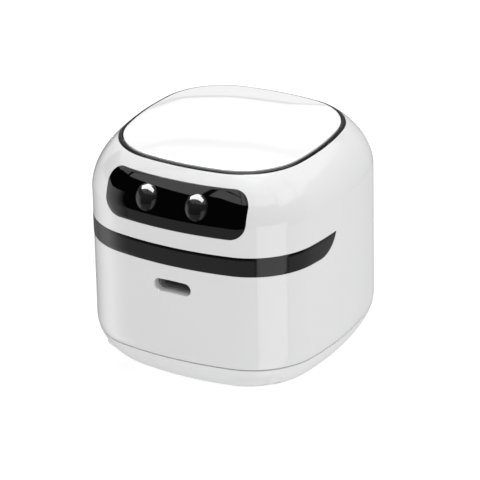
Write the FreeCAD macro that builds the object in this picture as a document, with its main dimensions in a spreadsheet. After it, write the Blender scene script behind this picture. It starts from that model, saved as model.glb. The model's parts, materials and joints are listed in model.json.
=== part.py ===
import FreeCAD, Part
import math
import os
import re

import Sketcher

# Small cube-shaped coding robot that drives on two wheels hidden under its base.
# Millimetres. +Z is up, the face looks along -Y, and the origin lies on the floor
# under the middle of the robot.

SIZES = {
    # Outer form: a cube with curved sides, a rounded shoulder and a rounded base.
    "body_half_width": 28.0,
    "body_corner_ratio": 0.5716,
    "ring_corner_ratio": 0.653,
    "base_corner_ratio": 0.62,
    "side_curve_ratio": 2.714,
    "base_curve_radius": 11.2,
    "base_curve_top": 12.9,
    "seam_height": 9.9,
    "seam_gap": 0.3,
    "crease_height": 43.84,
    "shoulder_radius": 14.8,
    "shoulder_start": 4.73,
    "shoulder_end": 49.66,
    "wall": 2.0,
    "inlay_depth": 1.2,
    "inlay_proud": 0.06,
    # Top opening, ring and cap.
    "cavity_top": 50.4,
    "ledge_top": 52.4,
    "ledge_half_width": 21.4,
    "ring_low_edge": 53.9,
    "ring_top": 54.2,
    "ring_top_half_width": 22.25,
    "ring_inner_half_width": 22.05,
    "cap_half_width": 21.8,
    "cap_rim_low": 53.7,
    "cap_rim_high": 54.4,
    "cap_crown": 1.85,
    "cap_inner_top": 53.2,
    "skirt_half_width": 21.1,
    "skirt_inner_half_width": 19.6,
    "skirt_low": 49.0,
    "hook_reach": 22.6,
    "hook_width": 8.0,
    "hook_height": 1.1,
    "plunger_radius": 1.5,
    # Face: visor, eyes, dark band and charging port.
    "visor_half_width": 17.2,
    "visor_low": 41.1,
    "visor_high": 51.65,
    "visor_corner": 3.8,
    "eye_spacing_half": 6.1,
    "eye_height": 47.3,
    "eye_half_width": 2.65,
    "eye_half_height": 3.05,
    "eye_bulge": 1.6,
    "eye_light_hole": 2.0,
    "band_low": 32.64,
    "band_high": 37.09,
    "band_end": -4.4,
    "band_end_corner": 6.5,
    "port_height": 27.5,
    "port_width": 9.0,
    "port_slot": 2.9,
    "receptacle_width": 8.94,
    "receptacle_height": 3.26,
    "receptacle_length": 7.3,
    "receptacle_wall": 0.3,
    "receptacle_front": -25.7,
    "tongue_width": 6.69,
    "tongue_thickness": 0.7,
    # Corner screws that hold the base tray to the shell.
    "corner_boss": 18.6,
    "corner_boss_radius": 3.6,
    "shell_boss_top": 18.0,
    "base_screw_seat": 7.0,
    "base_screw_radius": 1.0,
    "base_screw_head": 1.8,
    "base_screw_recess": 2.1,
    # Wheels and gear trains: the right one is drawn, the left one is the same turned half round.
    "wheel_radius": 11.0,
    "wheel_hub_radius": 8.5,
    "wheel_inner_face": 11.0,
    "wheel_width": 4.2,
    "tyre_edge": 0.8,
    "wheel_axle_radius": 1.0,
    "running_clearance": 0.05,
    "gear_module": 0.5,
    "wheel_gear_teeth": 26,
    "large_gear_teeth": 24,
    "pinion_teeth": 14,
    "wheel_gear_face": 7.4,
    "large_gear_face": 5.1,
    "gear_width": 1.5,
    "compound_length": 4.1,
    "compound_back": 8.0,
    "compound_rise": 6.0,
    "idler_axle_radius": 0.75,
    "motor_radius": 5.0,
    "motor_length": 13.7,
    "motor_shaft_radius": 0.5,
    "motor_shaft_length": 5.2,
    "motor_pinion_face": 4.95,
    "motor_pinion_width": 1.9,
    "frame_inner_face": 3.7,
    "frame_plate": 1.0,
    "cover_inner_face": 9.6,
    "cover_plate": 0.8,
    "frame_back": 21.5,
    "frame_front": -11.5,
    "frame_low": 8.0,
    "board_underside": 24.87,
    "floor_top": 3.7,
    "foot_near": 8.8,
    "foot_screw_y": 10.15,
    "foot_screw_x": 7.15,
    "rail_screw_front": -7.0,
    "rail_screw_back": 19.5,
    "rail_screw_depth": 2.0,
    "cover_screw_front": 21.6,
    "cover_screw_back": 21.95,
    "cover_screw_radius": 0.6,
    "cover_screw_length": 3.0,
    "board_screw_radius": 0.95,
    "foot_screw_radius": 0.8,
    "wheel_slot_half_length": 8.9,
    # Ball casters.
    "caster_offset": 12.0,
    "ball_radius": 3.2,
    "ball_clearance": 0.2,
    "cup_radius": 4.4,
    "cup_top": 7.4,
    # Boards, battery and inner frame.
    "board_thickness": 1.0,
    "mid_frame_low": 38.5,
    "mid_frame_thickness": 1.5,
    "frame_slab_half": 19.5,
    "leg_x": 17.0,
    "leg_front": -14.0,
    "leg_back": 17.0,
    "leg_radius": 2.2,
    "switch_body": 6.0,
    "switch_body_height": 3.5,
    "stem_radius": 1.7,
    "stem_top": 45.1,
    "spring_radius": 5.5,
    "spring_wire": 0.25,
    "spring_turns": 6,
    # Parts under the base, behind the face and on the boards.
    "foot_recess": 1.5,
    "foot_screw_seat": 2.7,
    "foot_screw_head": 1.4,
    "board_screw_head": 1.8,
    "window_radius": 2.4,
    "window_y": -3.4,
    "underside_board_low": 7.2,
    "switch_slot_half": 1.3,
    "switch_slot_front": 2.0,
    "switch_slot_back": 7.0,
    "sensor_x": 9.0,
    "sensor_z": 34.9,
    "sensor_hole_radius": 1.8,
    "emitter_radius": 1.3,
    "led_radius": 1.5,
    "led_height": 45.8,
    "eye_board_front": -23.0,
    "eye_board_back": -22.0,
    "sensor_board_front": -24.4,
    "sensor_board_back": -23.6,
    "radio_height": 2.4,
    "battery_height": 6.0,
    "buzzer_radius": 4.5,
    "buzzer_height": 4.0,
}

doc = FreeCAD.newDocument("CubeRobot")
sheet = doc.addObject("Spreadsheet::Sheet", "Sizes")
for row, (alias, size) in enumerate(SIZES.items(), start=1):
    sheet.set(f"A{row}", alias)
    sheet.set(f"B{row}", str(size))
    sheet.setAlias(f"B{row}", alias)
doc.recompute()

ALIASES = re.compile(r"\b(" + "|".join(sorted(SIZES, key=len, reverse=True)) + r")\b")
X_AXIS = FreeCAD.Vector(1, 0, 0)
Y_AXIS = FreeCAD.Vector(0, 1, 0)
Z_AXIS = FreeCAD.Vector(0, 0, 1)
TURNS = {
    "x": FreeCAD.Rotation(Y_AXIS, 90),
    "y": FreeCAD.Rotation(X_AXIS, -90),
    "z": FreeCAD.Rotation(),
}
HALF_TURN = FreeCAD.Placement(FreeCAD.Vector(), FreeCAD.Rotation(Z_AXIS, 180))
SIDES = {"right": FreeCAD.Placement(), "left": HALF_TURN}
SHOULDER_SECTIONS = 6
BASE_SECTIONS = 7

nodes = []


# ---------------------------------------------------------------- helpers
def sized(text):
    """Point every size name in an expression at its spreadsheet cell."""
    return ALIASES.sub(r"Sizes.\1", str(text))


def value(text):
    """The present value of an expression over the sheet."""
    return float(sheet.evalExpression(sized(text)))


def bind(item, **sizes):
    for name, text in sizes.items():
        item.setExpression(name, sized(text))
    return item


def place(item, at, turn=None):
    """Bind an object's position to the sheet, with an optional fixed rotation."""
    item.Placement = FreeCAD.Placement(FreeCAD.Vector(), turn or FreeCAD.Rotation())
    for letter, text in zip("xyz", at):
        item.setExpression(f"Placement.Base.{letter}", sized(text))
    return item


def box(name, low, high):
    """A box between two corners, each given as three expressions."""
    item = doc.addObject("Part::Box", name)
    for side, near, far in zip(("Length", "Width", "Height"), low, high):
        item.setExpression(side, sized(f"({far}) - ({near})"))
    return place(item, low)


def rod(name, radius, length, at, axis="z"):
    item = doc.addObject("Part::Cylinder", name)
    bind(item, Radius=radius, Height=length)
    return place(item, at, TURNS[axis])


def ball(name, radius, at):
    return place(bind(doc.addObject("Part::Sphere", name), Radius=radius), at)


def cut(name, base, *tools):
    """Take one or more tools away from a base."""
    item = doc.addObject("Part::Cut", name)
    item.Base = base
    item.Tool = tools[0] if len(tools) == 1 else fuse(name + "_tools", *tools)
    return item


def fuse(name, *parts):
    item = doc.addObject("Part::MultiFuse", name)
    item.Shapes = list(parts)
    item.Refine = True
    return item


def common(name, *parts):
    item = doc.addObject("Part::MultiCommon", name)
    item.Shapes = list(parts)
    return item


def group(name, *parts):
    """Identical loose pieces that share one node."""
    item = doc.addObject("Part::Compound", name)
    item.Links = list(parts)
    return item


def keep(label, item):
    """Make an object a sub-part of the robot, under its own label."""
    item.Label = label
    nodes.append(item)
    return item


def new_body(name):
    return doc.addObject("PartDesign::Body", name)


def sketch_on(body, name, role="XY_Plane", offset="0"):
    """An empty sketch on one of the body's own origin planes."""
    sketch = body.newObject("Sketcher::SketchObject", name)
    plane = next(f for f in body.Origin.OriginFeatures if f.Role == role)
    sketch.AttachmentSupport = [(plane, "")]
    sketch.MapMode = "FlatFace"
    sketch.setExpression("AttachmentOffset.Base.z", sized(offset))
    return sketch


def named_size(sketch, constraint, name, text):
    index = sketch.addConstraint(constraint)
    sketch.renameConstraint(index, name)
    sketch.setExpression(f"Constraints.{name}", sized(text))


def circle_sketch(body, name, radius, role="XY_Plane", offset="0", centre=("0", "0")):
    sketch = sketch_on(body, name, role, offset)
    middle = FreeCAD.Vector(value(centre[0]), value(centre[1]), 0)
    sketch.addGeometry(Part.Circle(middle, Z_AXIS, value(radius)), False)
    named_size(sketch, Sketcher.Constraint("Radius", 0, value(radius)), "radius", radius)
    if centre == ("0", "0"):
        sketch.addConstraint(Sketcher.Constraint("Coincident", 0, 3, -1, 1))
    return sketch


def outline_sketch(body, name, points, role="XY_Plane", offset="0"):
    """A closed outline of straight lines through a list of points."""
    sketch = sketch_on(body, name, role, offset)
    count = len(points)
    lines = [Part.LineSegment(points[i], points[(i + 1) % count]) for i in range(count)]
    sketch.addGeometry(lines, False)
    joins = [Sketcher.Constraint("Coincident", i, 2, (i + 1) % count, 1) for i in range(count)]
    sketch.addConstraint(joins)
    return sketch


def pad(body, name, sketch, length, reverse=False):
    item = body.newObject("PartDesign::Pad", name)
    item.Profile = sketch
    item.Reversed = reverse
    return bind(item, Length=length)


def pocket(body, name, sketch, length, reverse=False):
    """A pocket that must take material away."""
    doc.recompute()
    before = body.Shape.Volume
    item = body.newObject("PartDesign::Pocket", name)
    item.Profile = sketch
    item.Reversed = reverse
    bind(item, Length=length)
    doc.recompute()
    if body.Shape.Volume >= before:
        raise RuntimeError(f"{name} cuts nothing")
    return item


def polar(body, name, feature, count, axis_role):
    item = body.newObject("PartDesign::PolarPattern", name)
    item.Originals = [feature]
    axis = next(f for f in body.Origin.OriginFeatures if f.Role == axis_role)
    item.Axis = (axis, [""])
    item.Angle = 360
    bind(item, Occurrences=count)
    body.Tip = item
    return item


def loft(body, name, sections):
    item = body.newObject("PartDesign::AdditiveLoft", name)
    item.Profile = (sections[0], [""])
    item.Sections = [(section, [""]) for section in sections[1:]]
    return item


# ---------------------------------------------------------------- curved square outline
def curved_square_arcs(half, corner, side):
    """Centres, radii and angles of the eight tangent arcs of a curved square."""
    reach = half - side
    middle = (2 * reach + math.sqrt(4 * reach**2 - 8 * (reach**2 - (side - corner) ** 2))) / 4
    turn = math.atan2(middle, middle - reach)
    arcs = []
    for quarter in range(4):
        start = quarter * math.pi / 2
        spin = FreeCAD.Rotation(Z_AXIS, 90 * quarter)
        side_centre = spin.multVec(FreeCAD.Vector(reach, 0, 0))
        corner_centre = spin.multVec(FreeCAD.Vector(middle, middle, 0))
        arcs.append((side_centre, side, start - turn, start + turn))
        arcs.append((corner_centre, corner, start + turn, start + math.pi / 2 - turn))
    return arcs


def curved_square(body, name, half, height, ratio="body_corner_ratio", offset="0"):
    """A fully constrained curved-square sketch: even arcs are sides, odd arcs are corners."""
    sketch = sketch_on(body, name, "XY_Plane", height)
    base_half = f"(({half}) - ({offset}))"
    corner = f"({ratio}) * {base_half} + ({offset})"
    side = f"side_curve_ratio * {base_half} + ({offset})"
    gap = f"{side} - ({half})"
    for centre, radius, start, end in curved_square_arcs(value(half), value(corner), value(side)):
        sketch.addGeometry(Part.ArcOfCircle(Part.Circle(centre, Z_AXIS, radius), start, end), False)
    rule = Sketcher.Constraint
    rules = [rule("Tangent", i, 2, (i + 1) % 8, 1) for i in range(8)]
    rules += [rule("PointOnObject", i, 3, -1) for i in (0, 4)]
    rules += [rule("PointOnObject", i, 3, -2) for i in (2, 6)]
    rules += [rule("Equal", 0, i) for i in (2, 4, 6)]
    rules += [rule("Equal", 1, i) for i in (3, 5, 7)]
    sketch.addConstraint(rules)
    named_size(sketch, rule("Radius", 0, value(side)), "side_radius", side)
    named_size(sketch, rule("Radius", 1, value(corner)), "corner_radius", corner)
    distance = value(gap)
    named_size(sketch, rule("DistanceX", 0, 3, -1, 1, distance), "east", gap)
    named_size(sketch, rule("DistanceX", -1, 1, 4, 3, distance), "west", gap)
    named_size(sketch, rule("DistanceY", 2, 3, -1, 1, distance), "north", gap)
    named_size(sketch, rule("DistanceY", -1, 1, 6, 3, distance), "south", gap)
    return sketch


def mixed(first, last, share):
    return f"({first} + ({last} - {first}) * {share})"


def outer_form(name, offset):
    """The whole outer form, with its surface moved out by offset (in if negative)."""
    body = new_body(name)
    base_radius = f"(base_curve_radius + ({offset}))"
    shoulder_radius = f"(shoulder_radius + ({offset}))"
    shoulder_x = "(body_half_width - shoulder_radius * cos(shoulder_start * 1 deg))"
    shoulder_z = "(crease_height - shoulder_radius * sin(shoulder_start * 1 deg))"

    base = []
    for step in range(BASE_SECTIONS):
        share = 1 - step / (BASE_SECTIONS - 1)
        angle = f"({90 * share} * 1 deg)"
        half = f"(body_half_width - base_curve_radius + {base_radius} * cos{angle})"
        moved = f"(({offset}) * cos{angle})"
        ratio = mixed("body_corner_ratio", "base_corner_ratio", share)
        height = f"base_curve_top - {base_radius} * sin{angle}"
        base.append(curved_square(body, f"{name}_base_{step}", half, height, ratio, moved))
    loft(body, f"{name}_base", base)

    shoulder = []
    for step in range(SHOULDER_SECTIONS):
        share = step / (SHOULDER_SECTIONS - 1)
        angle = f"({mixed('shoulder_start', 'shoulder_end', share)} * 1 deg)"
        half = f"({shoulder_x} + {shoulder_radius} * cos{angle})"
        moved = f"(({offset}) * cos{angle})"
        ratio = mixed("body_corner_ratio", "ring_corner_ratio", share)
        height = f"{shoulder_z} + {shoulder_radius} * sin{angle}"
        shoulder.append(curved_square(body, f"{name}_shoulder_{step}", half, height, ratio, moved))
    low = shoulder[0]
    straight = f"{shoulder_z} + {shoulder_radius} * sin(shoulder_start * 1 deg) - base_curve_top"
    pad(body, f"{name}_sides", low, straight, reverse=True)
    loft(body, f"{name}_shoulder", shoulder)
    return body


def curved_prism(name, half, low, high, ratio="ring_corner_ratio"):
    """A straight curved-square block between two heights."""
    body = new_body(name)
    outline = curved_square(body, f"{name}_outline", half, low, ratio)
    pad(body, f"{name}_pad", outline, f"({high}) - ({low})")
    return body


# ---------------------------------------------------------------- shell, base and inlays
FAR = "40"
HIGH = "60"
RING_HALF = ("(body_half_width - shoulder_radius"
             " * (cos(shoulder_start * 1 deg) - cos(shoulder_end * 1 deg)))")
FLAT_HEIGHT = "(base_curve_top - base_curve_radius)"
BOARD_TOP = "(board_underside + board_thickness)"
FRAME_TOP = "(mid_frame_low + mid_frame_thickness)"
CORNERS = [("1", "1"), ("-1", "1"), ("-1", "-1"), ("1", "-1")]


def rounded_window(name, half_width, low, high, corner):
    """A rounded rectangle in the front view, swept from the front to the middle."""
    body = new_body(name)
    sketch = sketch_on(body, f"{name}_outline", "XZ_Plane")
    wide, bottom, top, bend = value(half_width), value(low), value(high), value(corner)
    spots = [(wide - bend, bottom + bend), (wide - bend, top - bend)]
    spots += [(bend - wide, top - bend), (bend - wide, bottom + bend)]
    quarter = math.pi / 2
    for index, (x, z) in enumerate(spots):
        middle = FreeCAD.Vector(x, z, 0)
        start = (index - 1) * quarter
        circle = Part.Circle(middle, Z_AXIS, bend)
        sketch.addGeometry(Part.ArcOfCircle(circle, start, start + quarter), False)
    for index in range(4):
        first = sketch.getPoint(index, 2)
        last = sketch.getPoint((index + 1) % 4, 1)
        sketch.addGeometry(Part.LineSegment(first, last), False)
    rule = Sketcher.Constraint
    rules = [rule("Tangent", i, 2, 4 + i, 1) for i in range(4)]
    rules += [rule("Tangent", 4 + i, 2, (i + 1) % 4, 1) for i in range(4)]
    rules += [rule("Equal", 0, i) for i in (1, 2, 3)]
    rules += [rule("Symmetric", 0, 3, 3, 3, -2), rule("Vertical", 4), rule("Horizontal", 5)]
    sketch.addConstraint(rules)
    named_size(sketch, rule("Radius", 0, bend), "bend", corner)
    named_size(sketch, rule("DistanceX", -1, 1, 0, 3, wide - bend), "wide", f"{half_width} - ({corner})")
    named_size(sketch, rule("DistanceY", -1, 1, 0, 3, bottom + bend), "bottom", f"{low} + {corner}")
    named_size(sketch, rule("DistanceY", -1, 1, 1, 3, top - bend), "top", f"{high} - ({corner})")
    pad(body, f"{name}_pad", sketch, FAR)
    return body


def band_block(name):
    """The band's outline in the side view, swept across the whole width: its end is cut to a curve."""
    corner = rod(f"{name}_corner", "band_end_corner", f"2 * {FAR}",
                 (f"-{FAR}", "band_end - band_end_corner", "band_low + band_end_corner"), "x")
    front = box(f"{name}_front", (f"-{FAR}", f"-{FAR}", "band_low"),
                (FAR, "band_end - band_end_corner", "band_high"))
    limit = box(f"{name}_limit", (f"-{FAR}", f"-{FAR}", "band_low"), (FAR, "band_end", "band_high"))
    return common(name, fuse(f"{name}_shape", corner, front), limit)


outer = outer_form("outer_form", "0")
proud = outer_form("proud_form", "inlay_proud")
inset = outer_form("inset_form", "-inlay_depth")
cavity = outer_form("cavity_form", "-wall")

visor_block = rounded_window("visor_block", "visor_half_width", "visor_low", "visor_high", "visor_corner")
band_shape = band_block("band_block")
outer_skin = cut("inlay_skin", proud, inset)


def eye_shape(name, sign):
    """A domed oval, a little taller than wide, that sits square on the shoulder."""
    rise = value("eye_height - crease_height + shoulder_radius * sin(shoulder_start * 1 deg)")
    tilt = math.asin(rise / value("shoulder_radius"))
    centre_x = value("eye_spacing_half") * sign
    middle = value("body_half_width - shoulder_radius * cos(shoulder_start * 1 deg)")
    side = value("side_curve_ratio * body_half_width")
    sag = centre_x**2 / (2 * side)
    centre_y = sag - middle - value("shoulder_radius") * math.cos(tilt)
    item = doc.addObject("Part::Ellipsoid", name)
    bind(item, Radius1="eye_half_height", Radius2="eye_half_width", Radius3="eye_bulge")
    item.Angle1 = -90
    # Radius1 runs along the local Z axis, Radius2 along X and Radius3 along Y.
    lean = FreeCAD.Rotation(X_AXIS, math.degrees(-tilt))
    aside = FreeCAD.Rotation(Z_AXIS, math.degrees(math.asin(centre_x / side)))
    centre = FreeCAD.Vector(centre_x, centre_y, value("eye_height"))
    item.Placement = FreeCAD.Placement(centre, aside.multiply(lean))
    return item


eyes = {name: eye_shape(f"eye_{name}_oval", sign) for name, sign in (("left", -1), ("right", 1))}

visor_panel = common("visor_panel", visor_block, outer_skin)
keep("visor", cut("visor", visor_panel, eyes["left"], eyes["right"]))
for name, oval in eyes.items():
    keep(f"eye_lens_{name}", cut(f"eye_lens_{name}", oval, inset))

keep("light_band", common("light_band", band_shape, outer_skin))


def port_slot(name, width, height, low_y, high_y):
    """A slot with round ends, along Y, at the charging port."""
    half = f"(({width}) - ({height})) / 2"
    length = f"({high_y}) - ({low_y})"
    ends = [rod(f"{name}_{tag}", f"({height}) / 2", length, (f"{sign} * {half}", low_y, "port_height"), "y")
            for tag, sign in (("left_end", "-1"), ("right_end", "1"))]
    middle = box(f"{name}_middle", (f"-{half}", low_y, f"port_height - ({height}) / 2"),
                 (half, high_y, f"port_height + ({height}) / 2"))
    return fuse(name, middle, *ends)


# Screw bosses in the corners are left standing when the cavity is taken out.
boss_rods = [rod(f"boss_rod_{i}", "corner_boss_radius", "shell_boss_top",
                 (f"{x} * corner_boss", f"{y} * corner_boss", "0"))
             for i, (x, y) in enumerate(CORNERS)]
bossed_cavity = cut("bossed_cavity", cavity, *boss_rods)


def body_shell():
    above_seam = box("above_seam", (f"-{FAR}", f"-{FAR}", "seam_height + seam_gap"), (FAR, FAR, HIGH))
    below_ledge = box("below_ledge", (f"-{FAR}", f"-{FAR}", "-1"), (FAR, FAR, "cavity_top"))
    hollow = common("shell_hollow", bossed_cavity, below_ledge)
    top_opening = curved_prism("top_opening", "ledge_half_width", "cavity_top - 1", HIGH)
    ring_seat = curved_prism("ring_seat", RING_HALF, "ledge_top", HIGH)
    skin = cut("shell_skin", common("shell_outside", outer, above_seam), hollow, top_opening, ring_seat)
    visor_recess = cut("visor_recess", visor_block, inset)
    band_recess = cut("band_recess", band_shape, inset)
    holes = [rod(f"shell_pilot_{i}", "base_screw_radius", "7",
                 (f"{x} * corner_boss", f"{y} * corner_boss", "seam_height - 1"))
             for i, (x, y) in enumerate(CORNERS)]
    for tag, sign in (("left", "-1"), ("right", "1")):
        holes.append(rod(f"eye_hole_{tag}", "eye_light_hole", "10",
                         (f"{sign} * eye_spacing_half", "-30", "eye_height - 0.5"), "y"))
        holes.append(rod(f"sensor_hole_{tag}", "sensor_hole_radius", "10",
                         (f"{sign} * sensor_x", "-30", "sensor_z"), "y"))
    holes.append(box("receiver_hole", ("-2.8", "-30", "sensor_z - 1.7"), ("2.8", "-20", "sensor_z + 1.7")))
    slot = port_slot("port_opening", "port_width", "port_slot", "-30", "-22")
    return cut("body_shell", skin, visor_recess, band_recess, slot, *holes)


def base_tray():
    below_seam = box("below_seam", (f"-{FAR}", f"-{FAR}", "-1"), (FAR, FAR, "seam_height"))
    core = common("tray_core", outer, below_seam)
    skin = cut("tray_skin", core, bossed_cavity)
    pads = [rod(f"tray_pad_{i}", "corner_boss_radius - 0.6", "seam_gap + 1",
                (f"{x} * corner_boss", f"{y} * corner_boss", "seam_height - 1"))
            for i, (x, y) in enumerate(CORNERS)]
    post = rod("board_post", "0.8", "underside_board_low - floor_top + 0.5", ("0", "-6.2", "floor_top - 0.5"))
    cuts = []
    for i, (x, y) in enumerate(CORNERS):
        spot = (f"{x} * corner_boss", f"{y} * corner_boss")
        cuts.append(rod(f"tray_screw_hole_{i}", "base_screw_radius", "20", (*spot, "0")))
        cuts.append(rod(f"tray_screw_recess_{i}", "base_screw_recess", "base_screw_seat", (*spot, "0")))
    for name, turn in SIDES.items():
        low = ("wheel_inner_face - 0.6", "-wheel_slot_half_length", "0")
        high = ("wheel_inner_face + wheel_width + 0.4", "wheel_slot_half_length", "seam_height + 1")
        slot = box(f"wheel_slot_{name}", low, high)
        cuts.append(slot)
        if turn is HALF_TURN:
            place(slot, ("-wheel_inner_face - wheel_width - 0.4", "-wheel_slot_half_length", "0"))
        for tag, sign in (("front", "-1"), ("back", "1")):
            side = "1" if turn is not HALF_TURN else "-1"
            spot = (f"{side} * foot_screw_x", f"{sign} * foot_screw_y")
            cuts.append(rod(f"foot_hole_{name}_{tag}", "foot_screw_radius", "20", (*spot, "0")))
            cuts.append(rod(f"foot_recess_{name}_{tag}", "foot_recess", "foot_screw_seat", (*spot, "0")))
    for tag, sign in (("front", "-1"), ("rear", "1")):
        cuts.append(rod(f"caster_hole_{tag}", "cup_radius", "20", ("0", f"{sign} * caster_offset", "0")))
    cuts.append(rod("sensor_hole", "window_radius", "20", ("0", "window_y", "0")))
    cuts.append(box("switch_slot", ("-switch_slot_half", "switch_slot_front", "0"),
                    ("switch_slot_half", "switch_slot_back", "floor_top + 1")))
    return cut("base_tray", fuse("tray_with_bosses", skin, post, *pads), *cuts)


keep("body_shell", body_shell())
keep("base_tray", base_tray())


# ---------------------------------------------------------------- top ring, cap and its switch
def top_ring():
    body = new_body("top_ring")
    ratio = "ring_corner_ratio"
    foot = curved_square(body, "ring_foot", RING_HALF, "ledge_top", ratio)
    pad(body, "ring_wall", foot, "ring_low_edge - ledge_top")
    edge = curved_square(body, "ring_edge", RING_HALF, "ring_low_edge", ratio)
    land = curved_square(body, "ring_land", "ring_top_half_width", "ring_top", ratio)
    loft(body, "ring_slope", [edge, land])
    hole = curved_square(body, "ring_hole", "ring_inner_half_width", "ledge_top", ratio)
    pocket(body, "ring_opening", hole, "10", reverse=True)
    return body


def top_cap():
    body = new_body("cap_plate")
    ratio = "ring_corner_ratio"
    rim = curved_square(body, "cap_rim", "cap_half_width", "cap_rim_low", ratio)
    pad(body, "cap_edge", rim, "cap_rim_high - cap_rim_low")
    sections = []
    for step, share in enumerate((1.0, 0.985, 0.93, 0.8, 0.6, 0.4, 0.2)):
        lift = 0.0 if step == 0 else 0.12
        half = f"cap_half_width * {share}"
        height = f"cap_rim_high + cap_crown * (1 - {share} ^ 2) + {lift}"
        sections.append(curved_square(body, f"cap_section_{step}", half, height, ratio))
    loft(body, "cap_crown_loft", sections)
    skirt = curved_square(body, "cap_skirt", "skirt_half_width", "skirt_low", ratio)
    pad(body, "cap_skirt_wall", skirt, "cap_rim_low - skirt_low + 0.1")
    inner = curved_square(body, "cap_inner", "skirt_inner_half_width", "skirt_low", ratio)
    pocket(body, "cap_hollow", inner, "cap_inner_top - skirt_low", reverse=True)
    hooks = []
    for index in range(4):
        hook = box(f"cap_hook_{index}", ("skirt_inner_half_width + 0.2", "-hook_width / 2", "skirt_low"),
                   ("hook_reach", "hook_width / 2", "skirt_low + hook_height"))
        turned = FreeCAD.Rotation(Z_AXIS, 90 * index)
        corner = FreeCAD.Vector(value("skirt_inner_half_width + 0.2"), -value("hook_width") / 2, 0)
        spot = turned.multVec(corner)
        place(hook, (str(spot.x), str(spot.y), "skirt_low"), turned)
        hooks.append(hook)
    plunger = rod("cap_plunger", "plunger_radius", "cap_inner_top - stem_top + 0.5", ("0", "0", "stem_top"))
    return fuse("top_cap", body, plunger, *hooks)


def button_spring():
    helix = doc.addObject("Part::Helix", "spring_path")
    low = f"{FRAME_TOP} + board_thickness + spring_wire"
    bind(helix, Radius="spring_radius", Height=f"cap_inner_top - spring_wire - ({low})",
         Pitch=f"(cap_inner_top - spring_wire - ({low})) / spring_turns")
    place(helix, ("0", "0", low))
    wire = doc.addObject("Part::Circle", "spring_wire_section")
    bind(wire, Radius="spring_wire")
    place(wire, ("spring_radius", "0", low), FreeCAD.Rotation(X_AXIS, 90))
    item = doc.addObject("Part::Sweep", "button_spring")
    item.Sections = [wire]
    item.Spine = (helix, ["Edge1"])
    item.Solid = True
    item.Frenet = True
    return item


def switch_pieces():
    seat = f"({FRAME_TOP} + board_thickness)"
    board = box("button_board", ("-8", "-8", FRAME_TOP), ("8", "8", seat))
    case = box("switch_case", ("-switch_body / 2", "-switch_body / 2", seat),
               ("switch_body / 2", "switch_body / 2", f"{seat} + switch_body_height"))
    well = rod("switch_well", "stem_radius + 0.1", "10", ("0", "0", f"{seat} + 0.7"))
    stem = rod("switch_stem", "stem_radius", "2.1", ("0", "0", "stem_top - 2.1"))
    keep("button_board", board)
    keep("tactile_switch", cut("tactile_switch", case, well))
    keep("switch_stem", stem)


keep("top_ring", top_ring())
keep("top_cap", top_cap())
keep("button_spring", button_spring())
switch_pieces()


# ---------------------------------------------------------------- gears
PRESSURE_ANGLE = math.radians(20)
TOOTH_HEIGHT = 0.8
ROOT_DEPTH = 1.15
BACKLASH = 0.06


def tooth_outline(teeth, middle_angle):
    """One involute tooth as a closed outline, its middle at an angle in degrees."""
    module = value("gear_module")
    pitch = module * teeth / 2
    base = pitch * math.cos(PRESSURE_ANGLE)
    root = pitch - ROOT_DEPTH * module
    tip = pitch + TOOTH_HEIGHT * module
    involute = math.tan(PRESSURE_ANGLE) - PRESSURE_ANGLE
    half_at_pitch = math.pi / 2 / teeth - BACKLASH / 2 / pitch

    def half_angle(radius):
        if radius <= base:
            return half_at_pitch + involute
        slope = math.acos(base / radius)
        return half_at_pitch + involute - (math.tan(slope) - slope)

    start = max(base, root)
    radii = [root - 0.25] + [start + (tip - start) * i / 4 for i in range(5)]
    middle = math.radians(middle_angle)
    low_side = [(r, middle - half_angle(r)) for r in radii]
    high_side = [(r, middle + half_angle(r)) for r in reversed(radii)]
    return [FreeCAD.Vector(r * math.cos(a), r * math.sin(a), 0) for r, a in low_side + high_side]


def add_gear(body, name, teeth, face, width, middle_angle):
    """A root disc and its ring of teeth, on the YZ plane, starting at x = face."""
    count = int(value(teeth))
    root = f"gear_module * ({teeth} / 2 - {ROOT_DEPTH})"
    disc = circle_sketch(body, f"{name}_disc", root, "YZ_Plane", face)
    pad(body, f"{name}_root", disc, width)
    outline = outline_sketch(body, f"{name}_tooth", tooth_outline(count, middle_angle), "YZ_Plane", face)
    tooth = pad(body, f"{name}_tooth_pad", outline, width)
    polar(body, f"{name}_teeth", tooth, teeth, "X_Axis")


def bore(body, name, radius, face, depth):
    hole = circle_sketch(body, f"{name}_circle", radius, "YZ_Plane", face)
    pocket(body, name, hole, depth, reverse=True)


def move_gear(body, y, z, side):
    """Put a gear drawn round the X axis at its shaft, on the right or the left side."""
    spot = FreeCAD.Placement(FreeCAD.Vector(0, value(y), value(z)), FreeCAD.Rotation())
    body.Placement = SIDES[side].multiply(spot)
    return body


def turned_side(item, side):
    """Turn a finished right-hand piece half round for the left side."""
    item.Placement = SIDES[side]
    return item


WHEEL_Z = "wheel_radius"
IDLER_Z = "wheel_radius + compound_rise"
MOTOR_Y = "compound_back + gear_module * (large_gear_teeth + pinion_teeth) / 2"


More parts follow.
